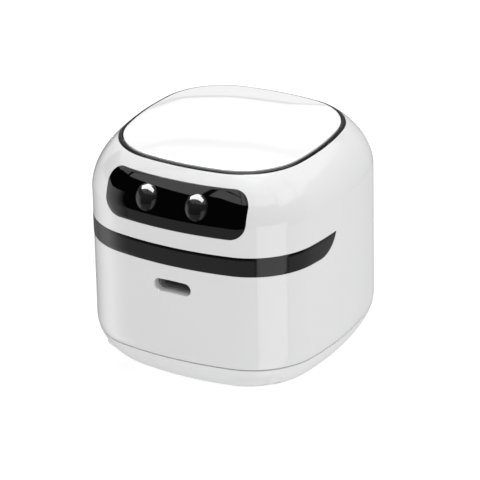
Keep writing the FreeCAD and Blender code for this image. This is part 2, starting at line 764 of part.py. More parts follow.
def wheel_pieces(side):
    hub = new_body(f"wheel_hub_{side}")
    face = "wheel_inner_face"
    disc = circle_sketch(hub, f"hub_disc_{side}", "wheel_hub_radius", "YZ_Plane", face)
    pad(hub, f"hub_pad_{side}", disc, "wheel_width")
    bore(hub, f"hub_bore_{side}", "wheel_axle_radius", face, "20")
    hole = circle_sketch(hub, f"hub_hole_{side}", "1.5", "YZ_Plane", face, ("5.2", "0"))
    opening = pocket(hub, f"hub_opening_{side}", hole, "20", reverse=True)
    polar(hub, f"hub_openings_{side}", opening, "6", "X_Axis")
    keep(f"wheel_hub_{side}", move_gear(hub, "0", WHEEL_Z, side))

    tyre = new_body(f"tyre_{side}")
    ring = circle_sketch(tyre, f"tyre_disc_{side}", "wheel_radius", "YZ_Plane", face)
    pad(tyre, f"tyre_pad_{side}", ring, "wheel_width")
    bore(tyre, f"tyre_bore_{side}", "wheel_hub_radius", face, "20")
    doc.recompute()
    last = tyre.Tip
    edges = [f"Edge{i + 1}" for i, edge in enumerate(last.Shape.Edges)
             if edge.BoundBox.YLength > 2 * value("wheel_radius") - 0.1]
    rounding = tyre.newObject("PartDesign::Fillet", f"tyre_rounding_{side}")
    rounding.Base = (last, edges)
    bind(rounding, Radius="tyre_edge")
    keep(f"tyre_{side}", move_gear(tyre, "0", WHEEL_Z, side))

    gear = new_body(f"wheel_gear_{side}")
    mesh_angle = math.degrees(math.atan2(value("compound_rise"), value("compound_back")))
    add_gear(gear, f"wheel_gear_{side}", "wheel_gear_teeth", "wheel_gear_face", "gear_width", mesh_angle)
    bore(gear, f"wheel_gear_bore_{side}", "wheel_axle_radius", "wheel_gear_face", "20")
    keep(f"wheel_gear_{side}", move_gear(gear, "0", WHEEL_Z, side))

    axle = rod(f"wheel_pin_{side}", "wheel_axle_radius", "wheel_inner_face + wheel_width - 3.5",
               ("3.5", "0", WHEEL_Z), "x")
    keep(f"wheel_axle_{side}", turned_side(group(f"wheel_axle_{side}_turned", axle), side))


def train_pieces(side):
    compound = new_body(f"compound_gear_{side}")
    mesh_angle = math.degrees(math.atan2(value("compound_rise"), value("compound_back")))
    small_phase = mesh_angle + 180 + 180 / value("pinion_teeth")
    add_gear(compound, f"large_{side}", "large_gear_teeth", "large_gear_face", "gear_width", 0)
    add_gear(compound, f"small_{side}", "pinion_teeth", "large_gear_face", "compound_length", small_phase)
    bore(compound, f"compound_bore_{side}", "idler_axle_radius + running_clearance", "large_gear_face", "20")
    keep(f"compound_gear_{side}", move_gear(compound, "compound_back", IDLER_Z, side))

    length = "cover_inner_face + cover_plate - frame_inner_face"
    axle = rod(f"idler_axle_{side}", "idler_axle_radius", length,
               ("frame_inner_face", "compound_back", IDLER_Z), "x")
    keep(f"compound_axle_{side}", turned_side(group(f"compound_axle_{side}_turned", axle), side))

    pinion = new_body(f"motor_pinion_{side}")
    phase = 180 + 180 / value("pinion_teeth")
    add_gear(pinion, f"pinion_{side}", "pinion_teeth", "motor_pinion_face", "motor_pinion_width", phase)
    bore(pinion, f"pinion_bore_{side}", "motor_shaft_radius", "motor_pinion_face", "20")
    keep(f"motor_pinion_{side}", move_gear(pinion, MOTOR_Y, IDLER_Z, side))

    shaft_end = "motor_pinion_face + motor_pinion_width"
    shaft = rod(f"shaft_{side}", "motor_shaft_radius", "motor_shaft_length",
                (f"{shaft_end} - motor_shaft_length", MOTOR_Y, IDLER_Z), "x")
    keep(f"motor_shaft_{side}", turned_side(group(f"motor_shaft_{side}_turned", shaft), side))

    can = rod(f"can_{side}", "motor_radius", "motor_length",
              ("frame_inner_face - motor_length", MOTOR_Y, IDLER_Z), "x")
    well = rod(f"can_well_{side}", "motor_shaft_radius + running_clearance", "10",
               (f"{shaft_end} - motor_shaft_length - 0.3", MOTOR_Y, IDLER_Z), "x")
    keep(f"motor_{side}", turned_side(cut(f"motor_{side}", can, well), side))


def plate(name, near, far):
    """A gear train's side plate: a tall part, and a lower part that carries the wheel axle."""
    tall = box(f"{name}_tall", (near, "frame_front", "frame_low"), (far, "frame_back", "board_underside"))
    low = box(f"{name}_low", (near, "-7.5", "floor_top + 0.3"), (far, "7.5", "frame_low + 1"))
    return [tall, low]


def plate_holes(name, near, motor_hole):
    holes = [rod(f"{name}_axle", "wheel_axle_radius + running_clearance", "6",
                 (f"{near} - 3", "0", WHEEL_Z), "x"),
             rod(f"{name}_idler", "idler_axle_radius", "6", (f"{near} - 3", "compound_back", IDLER_Z), "x")]
    if motor_hole:
        holes.append(rod(f"{name}_shaft", "1.5", "6", (f"{near} - 3", MOTOR_Y, IDLER_Z), "x"))
    return holes


def gearbox_pieces(side):
    inner = "frame_inner_face"
    outer_face = "cover_inner_face"
    blocks = []
    for tag, low_y, high_y, low_z, high_z in (
        ("front_rail", "-9", "-5", "20.5", "board_underside"),
        ("back_rail", "17.5", "frame_back", "21.2", "board_underside"),
        ("front_foot", "frame_front", "-foot_near", "floor_top", "12"),
        ("back_foot", "foot_near", "-frame_front", "floor_top", "10.1"),
    ):
        low = (f"{inner} + frame_plate", low_y, low_z)
        blocks.append(box(f"{tag}_{side}", low, (outer_face, high_y, high_z)))
    solid = fuse(f"gearbox_solid_{side}", *plate(f"inner_{side}", inner, f"{inner} + frame_plate"), *blocks)
    holes = plate_holes(f"inner_hole_{side}", inner, True)
    for tag, y in (("front", "rail_screw_front"), ("back", "rail_screw_back")):
        holes.append(rod(f"rail_hole_{tag}_{side}", "board_screw_radius", "rail_screw_depth + 1",
                         ("foot_screw_x", y, "board_underside - rail_screw_depth - 0.1")))
        holes.append(rod(f"cover_pilot_{tag}_{side}", "cover_screw_radius", "cover_screw_length",
                         (f"{outer_face} - cover_screw_length + 0.5", y, f"cover_screw_{tag}"), "x"))
    for tag, sign in (("front", "-1"), ("back", "1")):
        holes.append(rod(f"foot_pilot_{tag}_{side}", "foot_screw_radius", "4.5",
                         ("foot_screw_x", f"{sign} * foot_screw_y", "floor_top - 0.1")))
    frame = cut(f"gearbox_frame_{side}", solid, *holes)
    keep(f"gearbox_frame_{side}", turned_side(frame, side))

    lid = fuse(f"cover_solid_{side}", *plate(f"lid_{side}", outer_face, f"{outer_face} + cover_plate"))
    lid_holes = plate_holes(f"lid_hole_{side}", outer_face, False)
    for tag in ("front", "back"):
        lid_holes.append(rod(f"lid_screw_{tag}_{side}", "cover_screw_radius", "6",
                             (f"{outer_face} - 3", f"rail_screw_{tag}", f"cover_screw_{tag}"), "x"))
    keep(f"gearbox_cover_{side}", turned_side(cut(f"gearbox_cover_{side}", lid, *lid_holes), side))


for side in SIDES:
    wheel_pieces(side)
    train_pieces(side)
    gearbox_pieces(side)


# ---------------------------------------------------------------- fasteners
def screw(name, shank_radius, shank_length, head_radius, head_height, at, up):
    """A pan-head screw along Z; its head sits at 'at', and the shank runs up or down from it."""
    x, y, z = at
    head_z = f"({z}) - ({head_height})" if up else z
    shank_z = z if up else f"({z}) - ({shank_length})"
    head = rod(f"{name}_head", head_radius, head_height, (x, y, head_z))
    shank = rod(f"{name}_shank", shank_radius, shank_length, (x, y, shank_z))
    slot_z = f"({head_z}) - 0.1" if up else f"({head_z}) + ({head_height}) - 0.4"
    drive = box(f"{name}_drive", (f"({x}) - 0.25", f"({y}) - ({head_radius}) * 0.6", slot_z),
                (f"({x}) + 0.25", f"({y}) + ({head_radius}) * 0.6", f"({slot_z}) + 0.5"))
    return cut(name, fuse(f"{name}_blank", head, shank), drive)


LEG_SPOTS = [("1", "leg_front"), ("-1", "leg_front"), ("1", "leg_back"), ("-1", "leg_back")]


def fasteners():
    base = [screw(f"base_screw_{i}", "base_screw_radius", "6.5", "base_screw_head", "1.2",
                  (f"{x} * corner_boss", f"{y} * corner_boss", "base_screw_seat"), True)
            for i, (x, y) in enumerate(CORNERS)]
    keep("base_screws", group("base_screws", *base))
    feet = [screw(f"gearbox_screw_{i}", "foot_screw_radius", "4.8", "foot_screw_head", "0.9",
                  (f"{x} * foot_screw_x", f"{y} * foot_screw_y", "foot_screw_seat"), True)
            for i, (x, y) in enumerate(CORNERS)]
    keep("gearbox_screws", group("gearbox_screws", *feet))
    rails = [("1", "rail_screw_front"), ("1", "rail_screw_back"), ("-1", "-rail_screw_front"),
             ("-1", "-rail_screw_back")]
    boards = [screw(f"board_screw_{i}", "board_screw_radius", "board_thickness + rail_screw_depth",
                    "board_screw_head", "1.2", (f"{x} * foot_screw_x", y, BOARD_TOP), False)
              for i, (x, y) in enumerate(rails)]
    keep("board_screws", group("board_screws", *boards))
    legs = [screw(f"frame_screw_{i}", "board_screw_radius", "6", "board_screw_head", "1.2",
                  (f"{x} * leg_x", y, "board_underside"), True)
            for i, (x, y) in enumerate(LEG_SPOTS)]
    keep("frame_screws", group("frame_screws", *legs))
    lids = []
    for side in SIDES:
        for tag in ("front", "back"):
            face = "(cover_inner_face + cover_plate)"
            y, z = f"rail_screw_{tag}", f"cover_screw_{tag}"
            head = rod(f"cover_screw_head_{tag}_{side}", "1.1", "0.7", (face, y, z), "x")
            shank = rod(f"cover_screw_shank_{tag}_{side}", "cover_screw_radius", "cover_screw_length",
                        (f"{face} - cover_screw_length", y, z), "x")
            lids.append(turned_side(fuse(f"cover_screw_{tag}_{side}", head, shank), side))
    keep("cover_screws", group("cover_screws", *lids))


fasteners()


# ---------------------------------------------------------------- casters
def caster(tag, sign):
    y = f"{sign} * caster_offset"
    cup = rod(f"cup_{tag}", "cup_radius", f"cup_top - {FLAT_HEIGHT}", ("0", y, FLAT_HEIGHT))
    hollow = ball(f"cup_hollow_{tag}", "ball_radius + ball_clearance", ("0", y, "ball_radius"))
    keep(f"caster_cup_{tag}", cut(f"caster_cup_{tag}", cup, hollow))
    keep(f"caster_ball_{tag}", ball(f"caster_ball_{tag}", "ball_radius", ("0", y, "ball_radius")))


caster("front", "-1")
caster("rear", "1")


# ---------------------------------------------------------------- boards, battery and inner frame
def upright_edges(shape):
    """Names of the edges that run straight up."""
    return [f"Edge{i + 1}" for i, edge in enumerate(shape.Edges)
            if edge.BoundBox.XLength < 0.01 and edge.BoundBox.YLength < 0.01]


def main_board():
    body = new_body("main_board")
    corners = [FreeCAD.Vector(x, y, 0) for x, y in ((-20, -24.3), (20, -24.3), (20, 22), (-20, 22))]
    outline = outline_sketch(body, "board_outline", corners, offset="board_underside")
    slab = pad(body, "board_slab", outline, "board_thickness")
    doc.recompute()
    rounding = body.newObject("PartDesign::Fillet", "board_corners")
    rounding.Base = (slab, upright_edges(slab.Shape))
    rounding.Radius = 6
    spots = [("foot_screw_x", "rail_screw_front"), ("foot_screw_x", "rail_screw_back"),
             ("-foot_screw_x", "-rail_screw_front"), ("-foot_screw_x", "-rail_screw_back"),
             ("leg_x", "leg_front"), ("-leg_x", "leg_front"), ("leg_x", "leg_back"), ("-leg_x", "leg_back")]
    for index, spot in enumerate(spots):
        hole = circle_sketch(body, f"board_hole_{index}", "board_screw_radius",
                             offset="board_underside", centre=spot)
        pocket(body, f"board_drill_{index}", hole, "5", reverse=True)
    return body


def mid_frame():
    slab = box("frame_slab", ("-frame_slab_half", "-21.5", "mid_frame_low"),
               ("frame_slab_half", "20", FRAME_TOP))
    nose = box("frame_nose", ("-14", "sensor_board_back", "mid_frame_low"), ("14", "-21", FRAME_TOP))
    tab = box("eye_board_tab", ("-9", "eye_board_back", f"{FRAME_TOP} - 0.5"),
              ("9", "eye_board_back + 1.5", "46"))
    spots = [(f"{x} * leg_x", y) for x, y in LEG_SPOTS]
    legs = [rod(f"leg_{i}", "leg_radius", f"mid_frame_low + 0.5 - {BOARD_TOP}", (x, y, BOARD_TOP))
            for i, (x, y) in enumerate(spots)]
    pilots = [rod(f"leg_pilot_{i}", "board_screw_radius", "5.2", (x, y, f"{BOARD_TOP} - 0.1"))
              for i, (x, y) in enumerate(spots)]
    return cut("mid_frame", fuse("mid_frame_solid", slab, nose, tab, *legs), *pilots)


def port_pieces():
    high = "receptacle_front + receptacle_length"
    case = port_slot("receptacle_case", "receptacle_width", "receptacle_height", "receptacle_front", high)
    mouth = port_slot("receptacle_mouth", "receptacle_width - 2 * receptacle_wall",
                      "receptacle_height - 2 * receptacle_wall", "receptacle_front - 1", f"{high} - 1")
    keep("usb_port_shell", cut("usb_port_shell", case, mouth))
    low = ("-tongue_width / 2", "receptacle_front + 0.9", "port_height - tongue_thickness / 2")
    far = ("tongue_width / 2", f"{high} - 1", "port_height + tongue_thickness / 2")
    keep("usb_port_tongue", box("usb_port_tongue", low, far))


# Plain blocks, by label: their low and high corners.
BLOCKS = {
    "radio_module": (("-13", "-14", BOARD_TOP), ("-1", "0", f"{BOARD_TOP} + radio_height")),
    "battery": (("-14.4", "-11", "mid_frame_low - battery_height"), ("14.4", "20", "mid_frame_low")),
    "eye_board": (("-10", "eye_board_front", f"{FRAME_TOP} + 0.3"), ("10", "eye_board_back", "47.4")),
    "sensor_board": (("-12", "sensor_board_front", "31.5"), ("12", "sensor_board_back", "39.9")),
    "ir_receiver": (("-2.4", "sensor_board_front - 1.2", "sensor_z - 1.3"),
                    ("2.4", "sensor_board_front", "sensor_z + 1.3")),
    "underside_board": (("-3.3", "-7.2", "underside_board_low"), ("3.3", "7.2", "underside_board_low + 1")),
    "colour_sensor": (("-1.5", "window_y - 1.5", "underside_board_low - 1.2"),
                      ("1.5", "window_y + 1.5", "underside_board_low")),
    "power_switch_knob": (("-0.9", "2.4", "2.0"), ("0.9", "4.2", "5.0")),
}


def lens(name, radius, x, y, z, front):
    """The part of a ball that stands in front of a plane facing the front."""
    dome = ball(f"{name}_dome", radius, (x, y, z))
    before = box(f"{name}_front", (f"-{FAR}", f"-{FAR}", "0"), (FAR, front, HIGH))
    return common(name, dome, before)


def electronics():
    for label, (low, high) in BLOCKS.items():
        keep(label, box(label, low, high))
    buzzer = rod("buzzer_case", "buzzer_radius", "buzzer_height", ("12", "8", BOARD_TOP))
    mouth = rod("buzzer_hole", "1", "buzzer_height / 2", ("12", "8", f"{BOARD_TOP} + buzzer_height - 1.5"))
    keep("buzzer", cut("buzzer", buzzer, mouth))
    case = box("switch_block", ("-1.75", "0.5", "floor_top"), ("1.75", "7.5", "underside_board_low"))
    room = box("switch_room", ("-1.25", "1.9", "floor_top - 1"), ("1.25", "7.1", "5.4"))
    keep("power_switch_body", cut("power_switch_body", case, room))
    keep("sensor_window", rod("sensor_window", "window_radius", f"floor_top - {FLAT_HEIGHT} - 0.3",
                              ("0", "window_y", f"{FLAT_HEIGHT} + 0.3")))
    lights = []
    emitters = []
    for tag, sign in (("left", "-1"), ("right", "1")):
        x = f"{sign} * eye_spacing_half"
        barrel = rod(f"led_barrel_{tag}", "led_radius", "0.6",
                     (x, "eye_board_front - 0.6", "led_height"), "y")
        cap = lens(f"led_cap_{tag}", "led_radius", x, "eye_board_front - 0.4", "led_height",
                   "eye_board_front - 0.3")
        lights.append(fuse(f"led_{tag}", barrel, cap))
        emitters.append(lens(f"emitter_{tag}", "emitter_radius", f"{sign} * sensor_x",
                             "sensor_board_front - 0.2", "sensor_z", "sensor_board_front"))
    keep("eye_leds", group("eye_leds", *lights))
    keep("ir_emitters", group("ir_emitters", *emitters))


keep("main_board", main_board())
keep("mid_frame", mid_frame())
port_pieces()
electronics()


# ---------------------------------------------------------------- check and write
doc.recompute()
for item in doc.Objects:
    if "Invalid" in item.State or "Error" in item.State:
        raise RuntimeError(f"{item.Name} did not build: {item.State}")
for item in nodes:
    if item.Shape.isNull() or not item.Shape.isValid():
        raise RuntimeError(f"{item.Label} is not a valid shape")

os.makedirs("parts", exist_ok=True)
for item in nodes:
    item.Shape.exportStep(f"parts/{item.Label}.step")
    print(f"{item.Label:24s} solids {len(item.Shape.Solids)}  volume {item.Shape.Volume:9.1f} mm3")
print(len(nodes), "nodes")
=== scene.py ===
import json
import math

import bmesh
import bpy
from mathutils import Matrix, Vector
from mathutils.bvhtree import BVHTree


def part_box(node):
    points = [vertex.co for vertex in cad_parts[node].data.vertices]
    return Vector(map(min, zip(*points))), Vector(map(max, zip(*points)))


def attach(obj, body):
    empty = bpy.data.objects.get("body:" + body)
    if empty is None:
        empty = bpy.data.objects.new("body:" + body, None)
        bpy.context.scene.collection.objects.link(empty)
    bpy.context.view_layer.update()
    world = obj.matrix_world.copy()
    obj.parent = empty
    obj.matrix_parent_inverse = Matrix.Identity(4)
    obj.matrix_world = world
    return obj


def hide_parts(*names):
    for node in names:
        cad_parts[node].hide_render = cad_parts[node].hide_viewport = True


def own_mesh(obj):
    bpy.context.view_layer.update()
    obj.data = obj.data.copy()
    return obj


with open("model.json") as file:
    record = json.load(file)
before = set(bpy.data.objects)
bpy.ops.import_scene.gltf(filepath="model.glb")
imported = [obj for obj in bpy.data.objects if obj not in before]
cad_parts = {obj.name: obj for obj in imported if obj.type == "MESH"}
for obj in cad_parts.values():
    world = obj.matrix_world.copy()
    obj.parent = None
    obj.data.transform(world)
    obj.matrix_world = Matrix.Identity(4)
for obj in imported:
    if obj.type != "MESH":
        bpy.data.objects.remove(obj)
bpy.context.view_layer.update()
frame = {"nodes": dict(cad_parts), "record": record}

# A small white cube-shaped coding robot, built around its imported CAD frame.
# Metres, +Z up, the face looks along -Y.

MM = 0.001

# Outer form, as in the CAD: a cube with curved sides, a rounded shoulder and a rounded base.
BODY_HALF = 28.0 * MM
BODY_RATIO = 0.5716
RING_RATIO = 0.653
BASE_RATIO = 0.62
SIDE_RATIO = 2.714
BASE_RADIUS = 11.2 * MM
BASE_TOP = 12.9 * MM
SEAM_LOW = 9.9 * MM
SEAM_HIGH = 10.15 * MM
CREASE = 43.84 * MM
SHOULDER_RADIUS = 14.8 * MM
SHOULDER_START = math.radians(4.73)
SHOULDER_END = math.radians(49.66)
SHOULDER_X = BODY_HALF - SHOULDER_RADIUS * math.cos(SHOULDER_START)
SHOULDER_Z = CREASE - SHOULDER_RADIUS * math.sin(SHOULDER_START)
WALL = 2.0 * MM
CORNER_BOSS = 18.6 * MM

# Inlays and openings.
INLAY_PROUD = 0.05 * MM
INLAY_DEPTH = 1.0 * MM
EDGE_ROUND = 0.12 * MM
BAND_EDGE_ROUND = 0.05 * MM
VISOR_HALF = 17.2 * MM
VISOR_LOW = 41.1 * MM
VISOR_HIGH = 51.65 * MM
VISOR_CORNER = 3.8 * MM
EYE_X = 6.1 * MM
EYE_Z = 47.3 * MM
EYE_HALF_WIDTH = 2.64 * MM
EYE_HALF_HEIGHT = 3.04 * MM
EYE_BULGE = 1.59 * MM
BAND_LOW = 32.64 * MM
BAND_HIGH = 37.09 * MM
BAND_END = -4.4 * MM
BAND_CORNER = 6.5 * MM
BAND_TIP = BAND_END - BAND_CORNER + math.sqrt(BAND_CORNER**2 - (BAND_CORNER - BAND_HIGH + BAND_LOW) ** 2)
PORT_Z = 27.5 * MM
PORT_WIDTH = 9.0 * MM
PORT_HEIGHT = 2.9 * MM

# The ledge inside the shell's top, and the ring and the cap above it.
LEDGE_HALF = 21.4 * MM
LEDGE_LOW = 50.4 * MM
LEDGE_TOP = 52.4 * MM
RING_SEAT_MIDDLE = 53.2 * MM
RING_INNER_HALF = 22.05 * MM
RING_TOP_HALF = 22.25 * MM
RING_SIDE_TOP = 53.9 * MM
RING_BEVEL = 0.06 * MM
CAP_HALF = 21.8 * MM
CAP_RIM = 54.48 * MM
CAP_RIM_LOW = 53.75 * MM
CAP_BEND = 0.2 * MM
CAP_UNDERSIDE = 53.2 * MM
SKIRT_HALF = 21.1 * MM
SKIRT_INNER_HALF = 19.6 * MM
SKIRT_LOW = 49.05 * MM
SKIRT_TOP = 53.7 * MM
PLUNGER_RADIUS = 1.5 * MM
PLUNGER_LOW = 45.15 * MM

# The seam's edge, the cut-outs of the tray and the tubes round its corner screws.
SEAM_EDGE = 0.1 * MM
TRAY_CUT_TOP = 8 * MM
WHEEL_SLOT_HALF_LENGTH = 8.9 * MM
WHEEL_SLOT_TOP = 6 * MM
WHEEL_SLOT_CORNER = 0.8 * MM
SWITCH_SLOT_HALF_WIDTH = 1.3 * MM
SWITCH_SLOT_FRONT = 2 * MM
SWITCH_SLOT_BACK = 7 * MM
FOOT_SCREW_X = 7.15 * MM
FOOT_SCREW_Y = 10.15 * MM
FOOT_HOLE_RADIUS = 1.5 * MM
FOOT_HOLE_DEPTH = 2.75 * MM
WELL_RADIUS = 2.1 * MM
WELL_OUTER_RADIUS = 3.4 * MM
WELL_SCREW_RADIUS = 1.0 * MM
WELL_LOW = 5.2 * MM
WELL_OUTER_LOW = 6.4 * MM
WELL_SEAT = 7 * MM
WELL_TOP = 9.8 * MM

SIDE_STEPS = 20
CORNER_STEPS = 28


# ---------------------------------------------------------------- curved square outlines
def square_arcs(half, ratio, moved=0.0):
    """Reach, side radius, corner centre, corner radius and tangent angle of a curved square."""
    base = half - moved
    corner = ratio * base + moved
    side = SIDE_RATIO * base + moved
    reach = half - side
    middle = (2 * reach + math.sqrt(4 * reach**2 - 8 * (reach**2 - (side - corner) ** 2))) / 4
    return reach, side, middle, corner, math.atan2(middle, middle - reach)


def square_outline(half, ratio, moved=0.0):
    """Points of a curved square, counterclockwise, the same number at any size."""
    reach, side, middle, corner, turn = square_arcs(half, ratio, moved)
    points = []
    for quarter in range(4):
        spin = Matrix.Rotation(quarter * math.pi / 2, 2)
        for step in range(SIDE_STEPS):
            angle = -turn + 2 * turn * step / SIDE_STEPS
            points.append(spin @ Vector((reach + side * math.cos(angle), side * math.sin(angle))))
        for step in range(CORNER_STEPS):
            angle = turn + (math.pi / 2 - 2 * turn) * step / CORNER_STEPS
            spot = Vector((middle + corner * math.cos(angle), middle + corner * math.sin(angle)))
            points.append(spin @ spot)
    return points


def mixed(first, last, share):
    return first + (last - first) * share


def base_row(angle, offset=0.0):
    """A row of the rounded base: 0 is at its top and a quarter turn at its flat bottom."""
    radius = BASE_RADIUS + offset
    half = BODY_HALF - BASE_RADIUS + radius * math.cos(angle)
    ratio = mixed(BODY_RATIO, BASE_RATIO, angle / (math.pi / 2))
    return half, ratio, offset * math.cos(angle), BASE_TOP - radius * math.sin(angle)


def shoulder_row(share, offset=0.0):
    """A row of the shoulder: 0 is at its crease and 1 at the ring."""
    angle = mixed(SHOULDER_START, SHOULDER_END, share)
    radius = SHOULDER_RADIUS + offset
    half = SHOULDER_X + radius * math.cos(angle)
    ratio = mixed(BODY_RATIO, RING_RATIO, share)
    return half, ratio, offset * math.cos(angle), SHOULDER_Z + radius * math.sin(angle)


def side_row(height, offset=0.0):
    """A row of the side between the base and the shoulder."""
    return BODY_HALF + offset, BODY_RATIO, offset, height


def spread(low, high, steps):
    """Evenly spaced values, with both ends."""
    return [low + (high - low) * i / steps for i in range(steps + 1)]


def front_surface(x, z):
    """The outer form's point and outward direction on the front, at x across and z up."""
    def depth(x, z):
        if z > CREASE:
            climb = math.asin((z - SHOULDER_Z) / SHOULDER_RADIUS)
            share = (climb - SHOULDER_START) / (SHOULDER_END - SHOULDER_START)
            half, ratio, moved, _ = shoulder_row(share)
        else:
            half, ratio, moved, _ = side_row(z)
        reach, side, middle, corner, turn = square_arcs(half, ratio, moved)
        across = abs(x)
        if across < side * math.sin(turn):
            return -(reach + math.sqrt(side**2 - across**2))
        return -(middle + math.sqrt(corner**2 - (across - middle) ** 2))

    step = 0.02 * MM
    slope_x = (depth(x + step, z) - depth(x - step, z)) / (2 * step)
    slope_z = (depth(x, z + step) - depth(x, z - step)) / (2 * step)
    return Vector((x, depth(x, z), z)), Vector((slope_x, -1, slope_z)).normalized()


# ---------------------------------------------------------------- mesh helpers
def add_object(name, data):
    item = bpy.data.objects.new(name, data)
    bpy.context.scene.collection.objects.link(item)
    return item


def new_piece(name, verts, faces, smooth_angle=32):
    mesh = bpy.data.meshes.new(name)
    mesh.from_pydata([tuple(v) for v in verts], [], faces)
    bm = bmesh.new()
    bm.from_mesh(mesh)
    bmesh.ops.remove_doubles(bm, verts=bm.verts, dist=1e-7)
    bmesh.ops.recalc_face_normals(bm, faces=bm.faces)
    bm.to_mesh(mesh)
    bm.free()
    mesh.shade_smooth()
    mesh.set_sharp_from_angle(angle=math.radians(smooth_angle))
    return add_object(name, mesh)


def smooth_ball(name, radius, matrix):
    """A ball that the matrix places and may stretch."""
    bm = bmesh.new()
    bmesh.ops.create_icosphere(bm, subdivisions=5, radius=radius, matrix=matrix)
    bmesh.ops.recalc_face_normals(bm, faces=bm.faces)
    mesh = bpy.data.meshes.new(name)
    bm.to_mesh(mesh)
    bm.free()
    mesh.shade_smooth()
    return add_object(name, mesh)


def square_loft(name, rows, closed=False):
    """A skin over rows of curved squares; closed joins the last row to the first,
    otherwise both ends are filled with a fan round a middle point."""
    verts = []
    faces = []
    count = 4 * (SIDE_STEPS + CORNER_STEPS)
    for half, ratio, moved, height in rows:
        verts += [(p.x, p.y, height) for p in square_outline(half, ratio, moved)]
    bands = len(rows) if closed else len(rows) - 1
    for row in range(bands):
        low = row * count
        high = ((row + 1) % len(rows)) * count
        for i in range(count):
            j = (i + 1) % count
            faces.append((low + i, low + j, high + j, high + i))
    if not closed:
        for row in (0, len(rows) - 1):
            middle = len(verts)
            verts.append((0, 0, rows[row][3]))
            start = row * count
            faces += [(start + i, start + (i + 1) % count, middle) for i in range(count)]
    return new_piece(name, verts, faces)


def lathe(name, profile, axis, centre, steps, smooth_angle=32):
    """A ring turned round X or Z from a closed profile of (along, radius) points."""
    verts = []
    for i in range(steps):
        angle = 2 * math.pi * i / steps
        for along, radius in profile:
            u, v = radius * math.cos(angle), radius * math.sin(angle)
            verts.append(centre + (Vector((along, u, v)) if axis == "x" else Vector((u, v, along))))
    count = len(profile)
    faces = []
    for i in range(steps):
        j = (i + 1) % steps
        for k in range(count):
            n = (k + 1) % count
            faces.append((i * count + k, i * count + n, j * count + n, j * count + k))
    return new_piece(name, verts, faces, smooth_angle)


def rounded_rectangle(half_width, half_height, corner, steps=14):
    """Points of a rounded rectangle round the origin, counterclockwise from the lower right."""
    points = []
    spots = [(1, -1, -90), (1, 1, 0), (-1, 1, 90), (-1, -1, 180)]
    for sx, sy, start in spots:
        for i in range(steps + 1):
            angle = math.radians(start + 90 * i / steps)
            x = sx * (half_width - corner) + corner * math.cos(angle)
            y = sy * (half_height - corner) + corner * math.sin(angle)
            points.append(Vector((x, y)))
    return dense_loop(points)


def dense_loop(points, longest=0.6 * MM):
    """Split the long straight runs of a loop."""
    loop = []
    for i, point in enumerate(points):
        after = points[(i + 1) % len(points)]
        parts = max(1, math.ceil((after - point).length / longest))
        loop += [point.lerp(after, k / parts) for k in range(parts)]
    return loop


def surface_patch(name, loop, centre, proud, depth, edge=EDGE_ROUND):
    """A closed plate that follows the front of the robot inside a loop given in front view."""
    rings = [1 - 0.09 * i for i in range(11)]
    verts = []
    faces = []
    count = len(loop)

    def add_ring(shrink, lift, inset):
        for point in loop:
            size = 1 - inset / max(point.length, 1e-9)
            x = centre.x + point.x * shrink * size
            z = centre.y + point.y * shrink * size
            spot, out = front_surface(x, z)
            verts.append(spot + out * lift)

    def join(first, second):
        for i in range(count):
            j = (i + 1) % count
            faces.append((first + i, first + j, second + j, second + i))

    def fill(first, lift):
        middle = len(verts)
        spot, out = front_surface(centre.x, centre.y)
        verts.append(spot + out * lift)
        faces.extend((first + i, first + (i + 1) % count, middle) for i in range(count))

    add_ring(1, -depth, 0)
    back = 0
    for shrink in rings[1:]:
        add_ring(shrink, -depth, 0)
        join(len(verts) - 2 * count, len(verts) - count)
    fill(len(verts) - count, -depth)
    start = len(verts)
    add_ring(1, proud - edge, 0)
    join(back, start)
    for turn in (30, 60, 90):
        angle = math.radians(turn)
        add_ring(1, proud - edge * (1 - math.sin(angle)), edge * (1 - math.cos(angle)))
        join(len(verts) - 2 * count, len(verts) - count)
    for shrink in rings[1:]:
        add_ring(shrink, proud, 0)
        join(len(verts) - 2 * count, len(verts) - count)
    fill(len(verts) - count, proud)
    return new_piece(name, verts, faces, 50)


def carve(piece, *cutters):
    """Take cutters away from a piece, and keep its smooth shading where its own skin is left."""
    before = piece.data.copy()
    for cutter in cutters:
        step = piece.modifiers.new("carve", "BOOLEAN")
        step.operation = "DIFFERENCE"
        step.solver = "EXACT"
        step.object = cutter
    depsgraph = bpy.context.evaluated_depsgraph_get()
    after = bpy.data.meshes.new_from_object(piece.evaluated_get(depsgraph))
    piece.modifiers.clear()
    old = piece.data
    piece.data = after
    after.name = old.name
    bpy.data.meshes.remove(old)
    for cutter in cutters:
        bpy.data.objects.remove(cutter)
    borrow_normals(after, before)
    bpy.data.meshes.remove(before)
    return piece


def borrow_normals(mesh, source):
    """Give a carved mesh the normals of the smooth surface that it was cut from."""
    tree = BVHTree.FromPolygons([v.co for v in source.vertices], [p.vertices for p in source.polygons])
    corner_normals = [c.vector.copy() for c in source.corner_normals]
    mesh.shade_smooth()
    mesh.set_sharp_from_angle(angle=math.radians(32))
    fallback = [c.vector.copy() for c in mesh.corner_normals]
    nudge = 1e-5
    farthest = 3e-5
    least_agreement = 0.9
    normals = []
    for face in mesh.polygons:
        for loop in face.loop_indices:
            spot = mesh.vertices[mesh.loops[loop].vertex_index].co
            _, facing, index, distance = tree.find_nearest(spot + face.normal * nudge)
            if index is None or distance > farthest or facing.dot(face.normal) < least_agreement:
                normals.append(fallback[loop])
                continue
            normals.append(mixed_normal(source, corner_normals, index, spot))
    mesh.normals_split_custom_set(normals)


